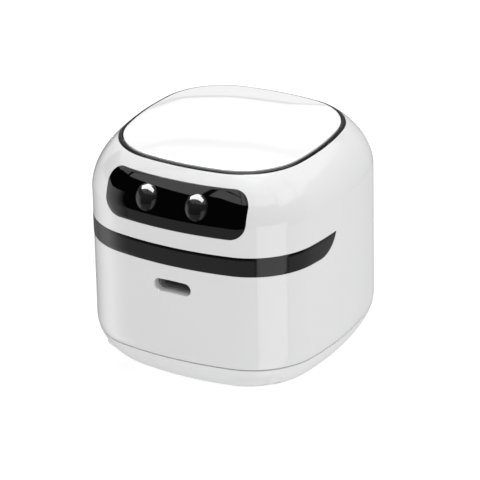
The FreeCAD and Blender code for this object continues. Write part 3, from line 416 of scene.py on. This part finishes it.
def mixed_normal(source, corner_normals, index, spot):
    """The smooth normal inside one source face, weighted by the nearness of its corners."""
    total = Vector()
    face = source.polygons[index]
    for loop in face.loop_indices:
        gap = (source.vertices[source.loops[loop].vertex_index].co - spot).length
        total += corner_normals[loop] / max(gap, 1e-7) ** 2
    return total.normalized()


# ---------------------------------------------------------------- materials
def material(name, colour, roughness, coat=0.0, coat_roughness=0.04, metallic=0.0,
             shine=0.5, grain=None, tint=0.0):
    """A moulded or metal finish: slight colour drift, uneven gloss and a fine surface texture.
    Grain is the texture's scale and strength, and tint is how far the colour drifts."""
    mat = bpy.data.materials.new(name)
    mat.use_nodes = True
    nodes = mat.node_tree.nodes
    links = mat.node_tree.links
    shader = nodes["Principled BSDF"]
    shader.inputs["Metallic"].default_value = metallic
    shader.inputs["Coat Weight"].default_value = coat
    shader.inputs["Coat Roughness"].default_value = coat_roughness
    shader.inputs["Specular IOR Level"].default_value = shine
    place = nodes.new("ShaderNodeTexCoord")

    cloud = nodes.new("ShaderNodeTexNoise")
    cloud.inputs["Scale"].default_value = 60
    cloud.inputs["Detail"].default_value = 4
    links.new(place.outputs["Object"], cloud.inputs["Vector"])
    ramp = nodes.new("ShaderNodeValToRGB")
    dark = [c * (1 - tint) for c in colour]
    ramp.color_ramp.elements[0].position = 0.3
    ramp.color_ramp.elements[0].color = (*dark, 1)
    ramp.color_ramp.elements[1].position = 0.7
    ramp.color_ramp.elements[1].color = (*colour, 1)
    links.new(cloud.outputs["Fac"], ramp.inputs["Fac"])
    links.new(ramp.outputs["Color"], shader.inputs["Base Color"])

    smear = nodes.new("ShaderNodeTexNoise")
    smear.inputs["Scale"].default_value = 140
    smear.inputs["Detail"].default_value = 6
    links.new(place.outputs["Object"], smear.inputs["Vector"])
    gloss = nodes.new("ShaderNodeMapRange")
    gloss.inputs["To Min"].default_value = roughness * 0.8
    gloss.inputs["To Max"].default_value = roughness * 1.25
    links.new(smear.outputs["Fac"], gloss.inputs["Value"])
    links.new(gloss.outputs["Result"], shader.inputs["Roughness"])

    if grain:
        scale, strength = grain
        fine = nodes.new("ShaderNodeTexNoise")
        fine.inputs["Scale"].default_value = scale
        fine.inputs["Detail"].default_value = 3
        links.new(place.outputs["Object"], fine.inputs["Vector"])
        bump = nodes.new("ShaderNodeBump")
        bump.inputs["Strength"].default_value = strength
        bump.inputs["Distance"].default_value = 0.02 * MM
        links.new(fine.outputs["Fac"], bump.inputs["Height"])
        links.new(bump.outputs["Normal"], shader.inputs["Normal"])
    return mat


WHITE = (0.69, 0.69, 0.695)
FINISHES = {
    "white_gloss": material("white_gloss", WHITE, 0.34, coat=1.0, coat_roughness=0.02, shine=0.35,
                            grain=(900, 0.03), tint=0.01),
    "white_cap": material("white_cap", (0.80, 0.80, 0.805), 0.08, coat=0.6, grain=(900, 0.03), tint=0.01),
    "white_base": material("white_base", (0.72, 0.72, 0.725), 0.3, coat=0.3, grain=(1400, 0.08), tint=0.015),
    "black_ring": material("black_ring", (0.004, 0.004, 0.0045), 0.22,
                           grain=(900, 0.03), tint=0.2, shine=0.05),
    "black_visor": material("black_visor", (0.001, 0.001, 0.0012), 0.04, tint=0.2),
    "eye_lens": material("eye_lens", (0.002, 0.002, 0.0022), 0.1, tint=0.2, shine=0.3),
    "dark_band": material("dark_band", (0.003, 0.003, 0.0032), 0.12, grain=(900, 0.02), tint=0.1),
    "port_metal": material("port_metal", (0.40, 0.40, 0.41), 0.35, metallic=0.3,
                           grain=(3000, 0.15), tint=0.1),
    "black_plastic": material("black_plastic", (0.02, 0.02, 0.021), 0.42, grain=(2600, 0.3), tint=0.15),
    "switch_stem": material("switch_stem", (0.6, 0.59, 0.55), 0.4, grain=(2000, 0.2), tint=0.05),
    "steel": material("steel", (0.5, 0.5, 0.52), 0.3, metallic=1.0, grain=(2500, 0.2), tint=0.15),
    "wheel_plastic": material("wheel_plastic", (0.10, 0.10, 0.11), 0.4, grain=(2200, 0.3), tint=0.12),
    "tyre_rubber": material("tyre_rubber", (0.022, 0.022, 0.022), 0.62, grain=(1800, 0.5), tint=0.3),
    "gear_plastic": material("gear_plastic", (0.74, 0.71, 0.63), 0.38, grain=(2200, 0.2), tint=0.05),
    "axle_steel": material("axle_steel", (0.6, 0.6, 0.62), 0.2, metallic=1.0, grain=(4000, 0.15), tint=0.1),
    "motor_can": material("motor_can", (0.58, 0.58, 0.6), 0.25, metallic=1.0, grain=(2500, 0.15), tint=0.1),
    "frame_plastic": material("frame_plastic", (0.20, 0.21, 0.23), 0.45, grain=(2200, 0.3), tint=0.1),
    "cup_plastic": material("cup_plastic", (0.55, 0.55, 0.56), 0.4, grain=(2200, 0.3), tint=0.05),
    "ball_steel": material("ball_steel", (0.7, 0.7, 0.72), 0.08, metallic=1.0, tint=0.08),
    "circuit_board": material("circuit_board", (0.02, 0.12, 0.06), 0.3, coat=0.3,
                              grain=(3500, 0.4), tint=0.35),
    "module_can": material("module_can", (0.5, 0.5, 0.51), 0.35, metallic=1.0, grain=(3000, 0.3), tint=0.15),
    "battery_wrap": material("battery_wrap", (0.45, 0.46, 0.5), 0.35, metallic=0.6,
                             grain=(1500, 0.5), tint=0.12),
    "led_clear": material("led_clear", (0.8, 0.83, 0.88), 0.08, coat=0.6, tint=0.05),
}


def finish_piece(piece, body, slot, *nodes):
    """Paint a piece, tie it to its body, and let it stand for any CAD nodes it is given."""
    piece.data.materials.clear()
    piece.data.materials.append(FINISHES[slot])
    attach(piece, body)
    if nodes:
        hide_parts(*nodes)
    return piece


# ---------------------------------------------------------------- shell and its inlays
def visor_outline(grow=0.0):
    """The visor's rounded rectangle in front view, grown for its cutter."""
    half_height = (VISOR_HIGH - VISOR_LOW) / 2
    return rounded_rectangle(VISOR_HALF + grow, half_height + grow, VISOR_CORNER + grow)


VISOR_CENTRE = Vector((0, (VISOR_LOW + VISOR_HIGH) / 2))


def band_columns():
    """Points round the front between the band's two ends, closer together near the ends."""
    reach, side, middle, corner, turn = square_arcs(BODY_HALF, BODY_RATIO)
    end = math.asin((BAND_TIP - 0.02 * MM) / side)
    start = -turn
    points = []
    for step in range(37):
        share = 1 - math.cos(math.pi / 2 * step / 36)
        angle = mixed(end, start, share)
        points.append(Vector((reach + side * math.cos(angle), side * math.sin(angle))))
    for step in range(1, 33):
        angle = -turn - (math.pi / 2 - 2 * turn) * step / 32
        points.append(Vector((middle + corner * math.cos(angle), -middle + corner * math.sin(angle))))
    for step in range(1, 17):
        angle = -math.pi / 2 + turn * (1 - step / 16)
        points.append(Vector((side * math.cos(angle), -reach + side * math.sin(angle))))
    other = [Vector((-p.x, p.y)) for p in reversed(points[:-1])]
    return points + other


def band_section(low, high, proud, depth, edge):
    """The band's section as (height, lift) points, from its lower back corner to its upper one."""
    bends = [math.radians(turn) for turn in (30, 60, 90)]
    near, far = low + edge, high - edge
    section = [(low, -depth), (low, proud - edge)]
    section += [(low + edge * (1 - math.cos(a)), proud - edge * (1 - math.sin(a))) for a in bends]
    section += [(near + (far - near) * k / 5, proud) for k in range(1, 5)]
    section += [(high - edge * (1 - math.cos(a)), proud - edge * (1 - math.sin(a))) for a in bends[::-1]]
    return section + [(high, proud - edge), (high, -depth)]


def band_piece(name, proud, depth, grow=0.0, edge_round=EDGE_ROUND):
    """The dark band as a closed strip; its back ends are cut to a curve with a sharp upper tip."""
    columns = band_columns()
    count = len(columns)
    lengths = [0.0]
    for i in range(1, count):
        lengths.append(lengths[-1] + (columns[i] - columns[i - 1]).length)
    total = lengths[-1]
    verts = []
    rings = []
    for i, point in enumerate(columns):
        before = columns[max(0, i - 1)]
        after = columns[min(count - 1, i + 1)]
        along = (after - before).normalized()
        out = Vector((-along.y, along.x))
        if out.dot(Vector((point.x, point.y))) < 0:
            out = -out
        into_corner = max(0.0, BAND_CORNER - (BAND_END - point.y))
        low = BAND_LOW + BAND_CORNER - math.sqrt(BAND_CORNER**2 - into_corner**2) - grow
        high = BAND_HIGH + grow
        edge = min(edge_round, (high - low) / 2.5)
        shift = Vector((0, 0))
        if i in (0, count - 1):
            shift = Vector((0, grow))
        ease = 1.0
        distance = min(lengths[i], total - lengths[i])
        if distance < edge:
            ease = distance / edge
        ring = []
        for height, lift in band_section(low, high, proud, depth, edge):
            lifted = lift if lift < 0 else lift * ease
            spot = point + out * lifted + shift
            ring.append(len(verts))
            verts.append((spot.x, spot.y, height))
        rings.append(ring)
    faces = []
    width = len(rings[0])
    for i in range(count - 1):
        for k in range(width):
            n = (k + 1) % width
            faces.append((rings[i][k], rings[i][n], rings[i + 1][n], rings[i + 1][k]))
    faces.append(tuple(rings[0]))
    faces.append(tuple(reversed(rings[-1])))
    return new_piece(name, verts, faces, 50)


def slot_cutter(name):
    """A round-ended slot through the front wall whose mouth is softly flared. Each station has its
    depth behind the front and its flare, in millimetres."""
    half_height = PORT_HEIGHT / 2
    loop = rounded_rectangle(PORT_WIDTH / 2, half_height, half_height * 0.999, 12)
    stations = [(-1, 0.32), (-0.05, 0.32), (0.04, 0.2), (0.14, 0.09), (0.3, 0.02), (0.5, 0.0), (4, 0.0)]
    verts = []
    count = len(loop)
    for depth, flare in stations:
        for point in loop:
            out = point + point.normalized() * flare * MM
            verts.append((out.x, -BODY_HALF + depth * MM, PORT_Z + out.y))
    faces = []
    for row in range(len(stations) - 1):
        low, high = row * count, (row + 1) * count
        faces += [(low + i, low + (i + 1) % count, high + (i + 1) % count, high + i) for i in range(count)]
    faces.append(tuple(range(count)))
    faces.append(tuple(range(len(verts) - count, len(verts))))
    return new_piece(name, verts, faces)


def shell():
    """The shell's skin, up the outside from the seam, over the ledge and down the inside."""
    low_angle = math.asin((BASE_TOP - SEAM_HIGH) / BASE_RADIUS)
    half, ratio, moved, _ = base_row(low_angle)
    rows = []
    for inset, rise in ((SEAM_EDGE, 0), (SEAM_EDGE * 0.3, SEAM_EDGE * 0.3), (0, SEAM_EDGE)):
        rows.append((half - inset, ratio, moved - inset, SEAM_HIGH + rise))
    rows += [base_row(a) for a in spread(low_angle * 0.93, 0, 6)]
    rows += [side_row(z) for z in spread(BASE_TOP, CREASE - 0.5 * MM, 20)[1:]]
    rows += [shoulder_row(s) for s in spread(0.02, 0.99, 30)]
    half, ratio, _, height = shoulder_row(1)
    rows.append((half, ratio, 0, height))
    gap = 0.03 * MM
    rows += [(half - gap, ratio, 0, z) for z in (height - 0.05 * MM, RING_SEAT_MIDDLE, LEDGE_TOP)]
    rows += [(LEDGE_HALF, RING_RATIO, 0, z) for z in (LEDGE_TOP, LEDGE_LOW)]
    half, ratio, moved, _ = shoulder_row(0.86, -WALL)
    rows.append((half, ratio, moved, LEDGE_LOW))
    rows += [shoulder_row(s, -WALL) for s in spread(0.83, 0, 8)]
    rows += [side_row(z, -WALL) for z in spread(CREASE, BASE_TOP, 6)[1:]]
    rows += [base_row(a, -WALL) for a in spread(0, low_angle * 1.2, 3)[1:]]
    half, ratio, moved, _ = rows[-1]
    rows.append((half, ratio, moved, SEAM_HIGH))
    piece = square_loft("shell_skin", rows, closed=True)
    above = 1 * MM
    sharp = 0.01 * MM
    visor_cut = surface_patch("visor_cutter", visor_outline(gap), VISOR_CENTRE, above, INLAY_DEPTH, sharp)
    band_cut = band_piece("band_cutter", above, INLAY_DEPTH, gap, sharp)
    carve(piece, slot_cutter("port_cutter"), visor_cut, band_cut)
    return finish_piece(piece, "casing", "white_gloss", "body_shell")


def eye(name, sign):
    """A glossy domed oval, a little taller than wide, that sits square on the shoulder."""
    spot, out = front_surface(sign * EYE_X, EYE_Z)
    across = Vector((1, 0, 0))
    across = (across - out * across.dot(out)).normalized()
    up = across.cross(out)
    if up.z < 0:
        up = -up
    stretch = Matrix((across * EYE_HALF_WIDTH, up * EYE_HALF_HEIGHT, out * EYE_BULGE)).transposed()
    piece = smooth_ball(name, 1, Matrix.Translation(spot) @ stretch.to_4x4())
    side = "left" if sign < 0 else "right"
    return finish_piece(piece, "casing", "eye_lens", f"eye_lens_{side}")


def face_pieces():
    """The visor, the band and the two eyes. Returns the eyes, which have a light of their own."""
    visor = surface_patch("visor_panel", visor_outline(), VISOR_CENTRE, INLAY_PROUD, INLAY_DEPTH)
    finish_piece(visor, "casing", "black_visor", "visor")
    band = band_piece("dark_stripe", INLAY_PROUD, INLAY_DEPTH, edge_round=BAND_EDGE_ROUND)
    finish_piece(band, "casing", "dark_band", "light_band")
    return eye("eye_dome_left", -1), eye("eye_dome_right", 1)


# ---------------------------------------------------------------- base tray
def block(name, low, high, corner):
    """A block along Z with rounded upright corners."""
    centre = Vector(((low[0] + high[0]) / 2, (low[1] + high[1]) / 2))
    loop = rounded_rectangle((high[0] - low[0]) / 2, (high[1] - low[1]) / 2, corner, 8)
    verts = [(centre.x + p.x, centre.y + p.y, z) for z in (low[2], high[2]) for p in loop]
    count = len(loop)
    faces = [(i, (i + 1) % count, count + (i + 1) % count, count + i) for i in range(count)]
    faces += [tuple(range(count)), tuple(range(count, 2 * count))]
    return new_piece(name, verts, faces)


def round_rod(name, radius, x, y, low, high):
    """A rod along Z."""
    steps = 48
    turns = [2 * math.pi * i / steps for i in range(steps)]
    verts = [(x + radius * math.cos(a), y + radius * math.sin(a), z) for z in (low, high) for a in turns]
    faces = [(i, (i + 1) % steps, steps + (i + 1) % steps, steps + i) for i in range(steps)]
    faces += [tuple(range(steps)), tuple(range(steps, 2 * steps))]
    return new_piece(name, verts, faces)


def tray():
    """The tray's skin, from the middle of its underside out to the seam and back inside."""
    high_angle = math.asin((BASE_TOP - SEAM_LOW) / BASE_RADIUS)
    quarter = math.pi / 2
    half, ratio, moved, _ = base_row(high_angle)
    rim = (half - WALL, ratio, moved - WALL, SEAM_LOW)
    outside = [(half - SEAM_EDGE, ratio, moved - SEAM_EDGE, SEAM_LOW)]
    outside.append((half, ratio, moved, SEAM_LOW - SEAM_EDGE))
    outside += [base_row(a) for a in spread(high_angle * 1.06, quarter, 26)]
    half, ratio, _, height = outside[-1]
    outside += [(half * s, ratio, 0, height) for s in (0.8, 0.5, 0.2)]
    inside = [base_row(a, -WALL) for a in spread(quarter, high_angle * 1.2, 12)]
    half, ratio, _, height = inside[0]
    inside = [(half * s, ratio, 0, height) for s in (0.2, 0.5, 0.8)] + inside
    piece = square_loft("tray_skin", outside[::-1] + [rim] + inside[::-1])
    carve(piece, *tray_cutters())
    return finish_piece(piece, "casing", "white_base", "base_tray")


def tray_cutters():
    """What is cut from the tray: wheel slots, round seats, the switch slot and the screw holes."""
    cutters = []
    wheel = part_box("tyre_right")
    for sign in (1, -1):
        xs = sorted((sign * (wheel[0].x - 0.6 * MM), sign * (wheel[1].x + 0.4 * MM)))
        near = (xs[0], -WHEEL_SLOT_HALF_LENGTH, 0)
        far = (xs[1], WHEEL_SLOT_HALF_LENGTH, WHEEL_SLOT_TOP)
        cutters.append(block(f"slot_{sign}", near, far, WHEEL_SLOT_CORNER))
    for name in ("caster_cup_front", "caster_cup_rear", "sensor_window"):
        low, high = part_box(name)
        middle = (low + high) / 2
        radius = (high.x - low.x) / 2 + 0.04 * MM
        cutters.append(round_rod(f"{name}_hole", radius, middle.x, middle.y, 0, TRAY_CUT_TOP))
    near = (-SWITCH_SLOT_HALF_WIDTH, SWITCH_SLOT_FRONT, 0)
    far = (SWITCH_SLOT_HALF_WIDTH, SWITCH_SLOT_BACK, TRAY_CUT_TOP)
    cutters.append(block("switch_slot", near, far, 0.3 * MM))
    for sx in (1, -1):
        for sy in (1, -1):
            x, y = sx * FOOT_SCREW_X, sy * FOOT_SCREW_Y
            cutters.append(round_rod("foot_hole", FOOT_HOLE_RADIUS, x, y, 0, FOOT_HOLE_DEPTH))
            x, y = sx * CORNER_BOSS, sy * CORNER_BOSS
            cutters.append(round_rod("corner_hole", WELL_RADIUS, x, y, 0, TRAY_CUT_TOP))
    return cutters


def screw_wells():
    """The tubes round the corner screws, which the tray's cut-outs open into."""
    profile = [(WELL_LOW, WELL_RADIUS), (WELL_SEAT, WELL_RADIUS), (WELL_SEAT, WELL_SCREW_RADIUS)]
    profile += [(WELL_TOP, WELL_SCREW_RADIUS), (WELL_TOP, WELL_OUTER_RADIUS)]
    profile.append((WELL_OUTER_LOW, WELL_OUTER_RADIUS))
    for sx in (1, -1):
        for sy in (1, -1):
            centre = Vector((sx * CORNER_BOSS, sy * CORNER_BOSS, 0))
            tag = ("r" if sx > 0 else "l") + ("b" if sy > 0 else "f")
            well = lathe(f"screw_well_{tag}", profile, "z", centre, 48)
            finish_piece(well, "casing", "white_base")


# ---------------------------------------------------------------- ring and cap
def ring():
    """The black ring: an upright side, a rounded shoulder and a narrow flat top."""
    half = shoulder_row(1)[0]
    low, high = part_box("top_ring")
    foot = low.z + 0.02 * MM
    rows = [(half, foot), (half, RING_SIDE_TOP - RING_BEVEL)]
    rows.append((half - RING_BEVEL * 0.4, RING_SIDE_TOP + RING_BEVEL * 0.3))
    for share in spread(0, 1, 6)[1:-1]:
        rise = math.sin(share * math.pi / 2)
        rows.append((mixed(half, RING_TOP_HALF, share), mixed(RING_SIDE_TOP, high.z, rise)))
    rows += [(RING_TOP_HALF, high.z), (RING_INNER_HALF + RING_BEVEL, high.z)]
    rows += [(RING_INNER_HALF, high.z - RING_BEVEL), (RING_INNER_HALF, foot)]
    piece = square_loft("ring_bead", [(a, RING_RATIO, 0, z) for a, z in rows], closed=True)
    return finish_piece(piece, "casing", "black_ring", "top_ring")


def cap():
    """The cap: a low dome with a rounded rim, a skirt inside the shell and a plunger in the middle."""
    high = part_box("top_cap")[1]
    rows = []
    for share in (0.04, 0.1, 0.18, 0.27, 0.36, 0.45, 0.54, 0.63, 0.72, 0.8, 0.87, 0.93, 0.97, 0.985):
        rows.append((CAP_HALF * share, CAP_RIM + (high.z - CAP_RIM) * (1 - share**2)))
    for angle in spread(math.radians(78), 0, 6):
        along = CAP_HALF - CAP_BEND + CAP_BEND * math.cos(angle)
        rows.append((along, CAP_RIM - CAP_BEND + CAP_BEND * math.sin(angle)))
    rows += [(CAP_HALF, CAP_RIM_LOW), (SKIRT_HALF, SKIRT_TOP)]
    rows += [(SKIRT_HALF, SKIRT_LOW), (SKIRT_INNER_HALF, SKIRT_LOW)]
    rows += [(SKIRT_INNER_HALF, CAP_UNDERSIDE), (PLUNGER_RADIUS, CAP_UNDERSIDE)]
    rows.append((PLUNGER_RADIUS, PLUNGER_LOW))
    piece = square_loft("cap_plate", [(a, RING_RATIO, 0, z) for a, z in rows])
    return finish_piece(piece, "top_button", "white_cap", "top_cap")


# ---------------------------------------------------------------- running gear and small parts
def tyre(side):
    """A rubber tyre with shallow cross grooves."""
    low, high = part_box(f"tyre_{side}")
    centre = Vector((0, (low.y + high.y) / 2, (low.z + high.z) / 2))
    outer = (high.z - low.z) / 2
    inner = outer - 2.5 * MM
    edge = 0.7 * MM

    def bend(start, end):
        return [(edge * (1 - math.cos(a)), outer - edge * (1 - math.sin(a))) for a in spread(start, end, 5)]

    profile = [(low.x, inner)]
    profile += [(low.x + along, radius) for along, radius in bend(0, math.pi / 2)]
    profile += [(mixed(low.x + edge, high.x - edge, k / 6), outer) for k in range(1, 6)]
    profile += [(high.x - along, radius) for along, radius in bend(math.pi / 2, 0)]
    profile.append((high.x, inner))
    grooves = 30
    groove_depth = 0.3 * MM
    groove_start, groove_end = 0.3, 0.62
    piece = lathe(f"tyre_tread_{side}", profile, "x", centre, grooves * 8, smooth_angle=24)
    for vertex in piece.data.vertices:
        spoke = vertex.co - centre
        spoke.x = 0
        share = (math.atan2(spoke.z, spoke.y) / (2 * math.pi) * grooves) % 1
        if spoke.length > outer - edge * 0.6 and groove_start < share < groove_end:
            vertex.co -= spoke.normalized() * groove_depth
    piece.data.update()
    return finish_piece(piece, f"wheel_{side}", "tyre_rubber", f"tyre_{side}")


def caster_ball(place):
    low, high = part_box(f"caster_ball_{place}")
    centre = (low + high) / 2
    piece = smooth_ball(f"ball_{place}", (high.x - low.x) / 2, Matrix.Translation(centre))
    return finish_piece(piece, f"ball_{place}", "ball_steel", f"caster_ball_{place}")


def button_spring():
    """The coil spring under the cap, built at its rest length; nothing here shortens it when the cap is
    pressed.
    """
    low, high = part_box("button_spring")
    wire = 0.24 * MM
    coil = 5.5 * MM
    per_turn = 40
    steps = 6 * per_turn
    around = 12
    verts = []
    for step in range(steps + 1):
        angle = 2 * math.pi * step / per_turn
        height = mixed(low.z + wire, high.z - wire, step / steps)
        for k in range(around):
            bend = 2 * math.pi * k / around
            reach = coil + wire * math.cos(bend)
            verts.append((reach * math.cos(angle), reach * math.sin(angle), height + wire * math.sin(bend)))
    faces = []
    for step in range(steps):
        first = step * around
        for k in range(around):
            after = (k + 1) % around
            faces.append((first + k, first + around + k, first + around + after, first + after))
    faces.append(tuple(range(around)))
    faces.append(tuple(reversed(range(len(verts) - around, len(verts)))))
    piece = new_piece("spring_coil", verts, faces)
    finish_piece(piece, "casing", "steel", "button_spring")
    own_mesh(piece)


shell()
eyes = face_pieces()
tray()
screw_wells()
ring()
cap()
button_spring()
for side in ("left", "right"):
    tyre(side)
for place in ("front", "rear"):
    caster_ball(place)

slots = {row["node"]: row["material_slot"] for row in frame["record"]["subparts"]}
for name, node in frame["nodes"].items():
    node.data.materials.clear()
    node.data.materials.append(FINISHES[slots[name]])


# ---------------------------------------------------------------- floor, light and camera
STUDIO_CENTRE = Vector((0, 0, 0.03))
CARD_DISTANCE = 1.5


def show_only_in_gloss(item):
    """Let only glossy rays meet an object, so that it is seen in reflections and nowhere else."""
    item.visible_camera = False
    item.visible_diffuse = False
    item.visible_transmission = False
    item.visible_volume_scatter = False
    item.visible_shadow = False


def floor():
    """A pale floor that glows a little, so that the shadow round the robot stays faint."""
    size = 3.0
    mesh = bpy.data.meshes.new("floor")
    corners = [(-size, -size, 0), (size, -size, 0), (size, size, 0), (-size, size, 0)]
    mesh.from_pydata(corners, [], [(0, 1, 2, 3)])
    item = add_object("floor", mesh)
    mat = bpy.data.materials.new("floor_white")
    mat.use_nodes = True
    shader = mat.node_tree.nodes["Principled BSDF"]
    shader.inputs["Base Color"].default_value = (0.36, 0.36, 0.36, 1)
    shader.inputs["Roughness"].default_value = 0.7
    shader.inputs["Specular IOR Level"].default_value = 0.0
    shader.inputs["Emission Color"].default_value = (1, 1, 1, 1)
    shader.inputs["Emission Strength"].default_value = 0.76
    mesh.materials.append(mat)
    item.visible_glossy = False


def card_material():
    """The glow of the studio's cards, read from each card's own points."""
    mat = bpy.data.materials.new("studio_card")
    mat.use_nodes = True
    mat.cycles.emission_sampling = "NONE"
    tree = mat.node_tree
    tree.nodes.remove(tree.nodes["Principled BSDF"])
    glow = tree.nodes.new("ShaderNodeAttribute")
    glow.attribute_name = "glow"
    lamp = tree.nodes.new("ShaderNodeEmission")
    tree.links.new(glow.outputs["Fac"], lamp.inputs["Strength"])
    tree.links.new(lamp.outputs["Emission"], tree.nodes["Material Output"].inputs["Surface"])
    return mat


# Soft cards round the robot, which only its glossy surfaces reflect: the lowest and highest
# elevation in degrees, and the glow at some compass directions in between.
CARDS = {
    "low_front": (-75, -20, [(-138, 0.45), (-60, 0.45)]),
    "low_corner": (-75, -4, [(-57, 1.4), (-10, 1.4)]),
    "low_right": (-75, -20, [(-7, 0.5), (60, 0.55), (140, 0.55)]),
    "low_left": (-40, 5, [(-214, 0.3), (-195, 0.4), (-178, 1.0), (-162, 1.5),
                          (-150, 1.2), (-143, 0.9), (-136, 0.1)]),
    "low_far_left": (-75, -40, [(-220, 0.4), (-138, 0.45)]),
    "right_fill": (-19, 19, [(18, 0.1), (35, 0.45), (110, 0.45)]),
    "window_left": (27, 76, [(-200, 1.3), (-145, 1.3)]),
    "window_middle": (26, 76, [(-142.5, 1.5), (-110, 1.5)]),
    "window_right": (31, 44, [(-107, 1.4), (-72, 1.4)]),
    "window_end": (31, 76, [(-70, 1.5), (-58, 1.5)]),
    "window_right_high": (46, 76, [(-107, 1.5), (-72, 1.5)]),
    "window_corner": (31, 44, [(-56, 1.5), (-20, 1.5)]),
    "window_corner_high": (46, 76, [(-56, 1.5), (-20, 1.5)]),
    "window_side": (24, 44, [(-17, 1.6), (14, 1.6)]),
    "window_side_high": (46, 76, [(-17, 1.6), (14, 1.6)]),
    "window_far": (20, 76, [(17, 1.4), (70, 1.0)]),
    "back_low": (0, 12.5, [(75, 0.75), (165, 0.75)]),
    "window_back": (13.5, 33, [(75, 1.1), (165, 1.1)]),
    "back_bar": (33, 35.5, [(75, 0.6), (165, 0.6)]),
    "window_back_high": (35.5, 47, [(75, 1.1), (165, 1.1)]),
    "ceiling_back": (48, 80, [(75, 22), (188, 22)]),
    "ceiling": (80, 90, [(-180, 22), (180, 22)]),
}


def card(name, low, high, glows, mat):
    """A patch of a sphere round the robot, made of upright columns."""
    rows = 12
    widest = 6.0
    columns = []
    for (start, first), (end, last) in zip(glows, glows[1:]):
        parts = max(1, math.ceil((end - start) / widest))
        columns += [(mixed(start, end, k / parts), mixed(first, last, k / parts)) for k in range(parts)]
    columns.append(glows[-1])
    verts = []
    strengths = []
    for compass, strength in columns:
        for row in range(rows + 1):
            rise = math.radians(mixed(low, high, row / rows))
            turn = math.radians(compass)
            ray = Vector((math.cos(rise) * math.cos(turn), math.cos(rise) * math.sin(turn), math.sin(rise)))
            verts.append(STUDIO_CENTRE + ray * CARD_DISTANCE)
            strengths.append(strength)
    faces = []
    for column in range(len(columns) - 1):
        near = column * (rows + 1)
        far = near + rows + 1
        faces += [(near + r, near + r + 1, far + r + 1, far + r) for r in range(rows)]
    mesh = bpy.data.meshes.new(name)
    mesh.from_pydata(verts, [], faces)
    glow = mesh.attributes.new("glow", "FLOAT", "POINT")
    glow.data.foreach_set("value", strengths)
    mesh.materials.append(mat)
    item = add_object(name, mesh)
    show_only_in_gloss(item)


def panel_light(name, place, size, power):
    """A soft rectangular light that faces the robot and that no reflection shows."""
    lamp = bpy.data.lights.new(name, "AREA")
    lamp.shape = "RECTANGLE"
    lamp.size, lamp.size_y = size
    lamp.energy = power
    item = add_object(name, lamp)
    item.location = place
    item.rotation_euler = (STUDIO_CENTRE - Vector(place)).to_track_quat("-Z", "Y").to_euler()
    item.visible_glossy = False
    item.visible_camera = False
    return item


def catchlight(lenses):
    """A bright panel overhead, facing straight down, that lights and shines in the eye lenses only."""
    item = panel_light("catchlight", (-0.30, -0.16, 0.66), (1.7, 0.6), 110.0)
    item.rotation_euler = (0, 0, 0)
    item.visible_glossy = True
    lit = bpy.data.collections.new("catchlight_lenses")
    for lens in lenses:
        lit.objects.link(lens)
    item.light_linking.receiver_collection = lit


def white_room():
    """A white room that glossy surfaces see as dark, so that only the cards shine in them."""
    world = bpy.data.worlds.new("white_room")
    world.use_nodes = True
    tree = world.node_tree
    room = tree.nodes["Background"]
    room.inputs["Strength"].default_value = 0.67
    room.inputs["Color"].default_value = (1, 1, 1, 1)
    dark = tree.nodes.new("ShaderNodeBackground")
    dark.inputs["Strength"].default_value = 0.01
    backdrop = tree.nodes.new("ShaderNodeBackground")
    backdrop.inputs["Color"].default_value = (1, 1, 1, 1)
    backdrop.inputs["Strength"].default_value = 1.0
    path = tree.nodes.new("ShaderNodeLightPath")
    for_gloss = tree.nodes.new("ShaderNodeMixShader")
    for_camera = tree.nodes.new("ShaderNodeMixShader")
    tree.links.new(path.outputs["Is Glossy Ray"], for_gloss.inputs["Fac"])
    tree.links.new(room.outputs["Background"], for_gloss.inputs[1])
    tree.links.new(dark.outputs["Background"], for_gloss.inputs[2])
    tree.links.new(path.outputs["Is Camera Ray"], for_camera.inputs["Fac"])
    tree.links.new(for_gloss.outputs["Shader"], for_camera.inputs[1])
    tree.links.new(backdrop.outputs["Background"], for_camera.inputs[2])
    tree.links.new(for_camera.outputs["Shader"], tree.nodes["World Output"].inputs["Surface"])
    bpy.context.scene.world = world


def studio():
    floor()
    mat = card_material()
    for name, (low, high, glows) in CARDS.items():
        card(name, low, high, glows, mat)
    panel_light("top_panel", (0.0, -0.05, 0.8), (0.7, 0.7), 3.3)
    panel_light("right_panel", (0.7, -0.3, 0.3), (0.4, 0.4), 0.65)
    panel_light("back_right_panel", (0.55, 0.6, 0.4), (0.4, 0.4), 1.4)
    panel_light("left_panel", (-0.7, -0.2, 0.35), (0.4, 0.4), 0.3)
    catchlight(eyes)
    white_room()


def camera():
    """A long lens, about 30 degrees to the right of the face and looking down about 25 degrees."""
    data = bpy.data.cameras.new("camera")
    data.sensor_width = 36
    data.lens = 262.6
    data.clip_start = 0.05
    data.clip_end = 20
    item = add_object("camera", data)
    right = Vector((0.87457, 0.48448, -0.02009))
    up = Vector((-0.18944, 0.37952, 0.90558))
    back = right.cross(up)
    turn = Matrix((right, up, back)).transposed().to_4x4()
    item.matrix_world = Matrix.Translation((0.347452, -0.611299, 0.355941)) @ turn
    bpy.context.scene.camera = item


studio()
camera()
bpy.context.scene.view_settings.view_transform = "Standard"

bpy.context.view_layer.update()
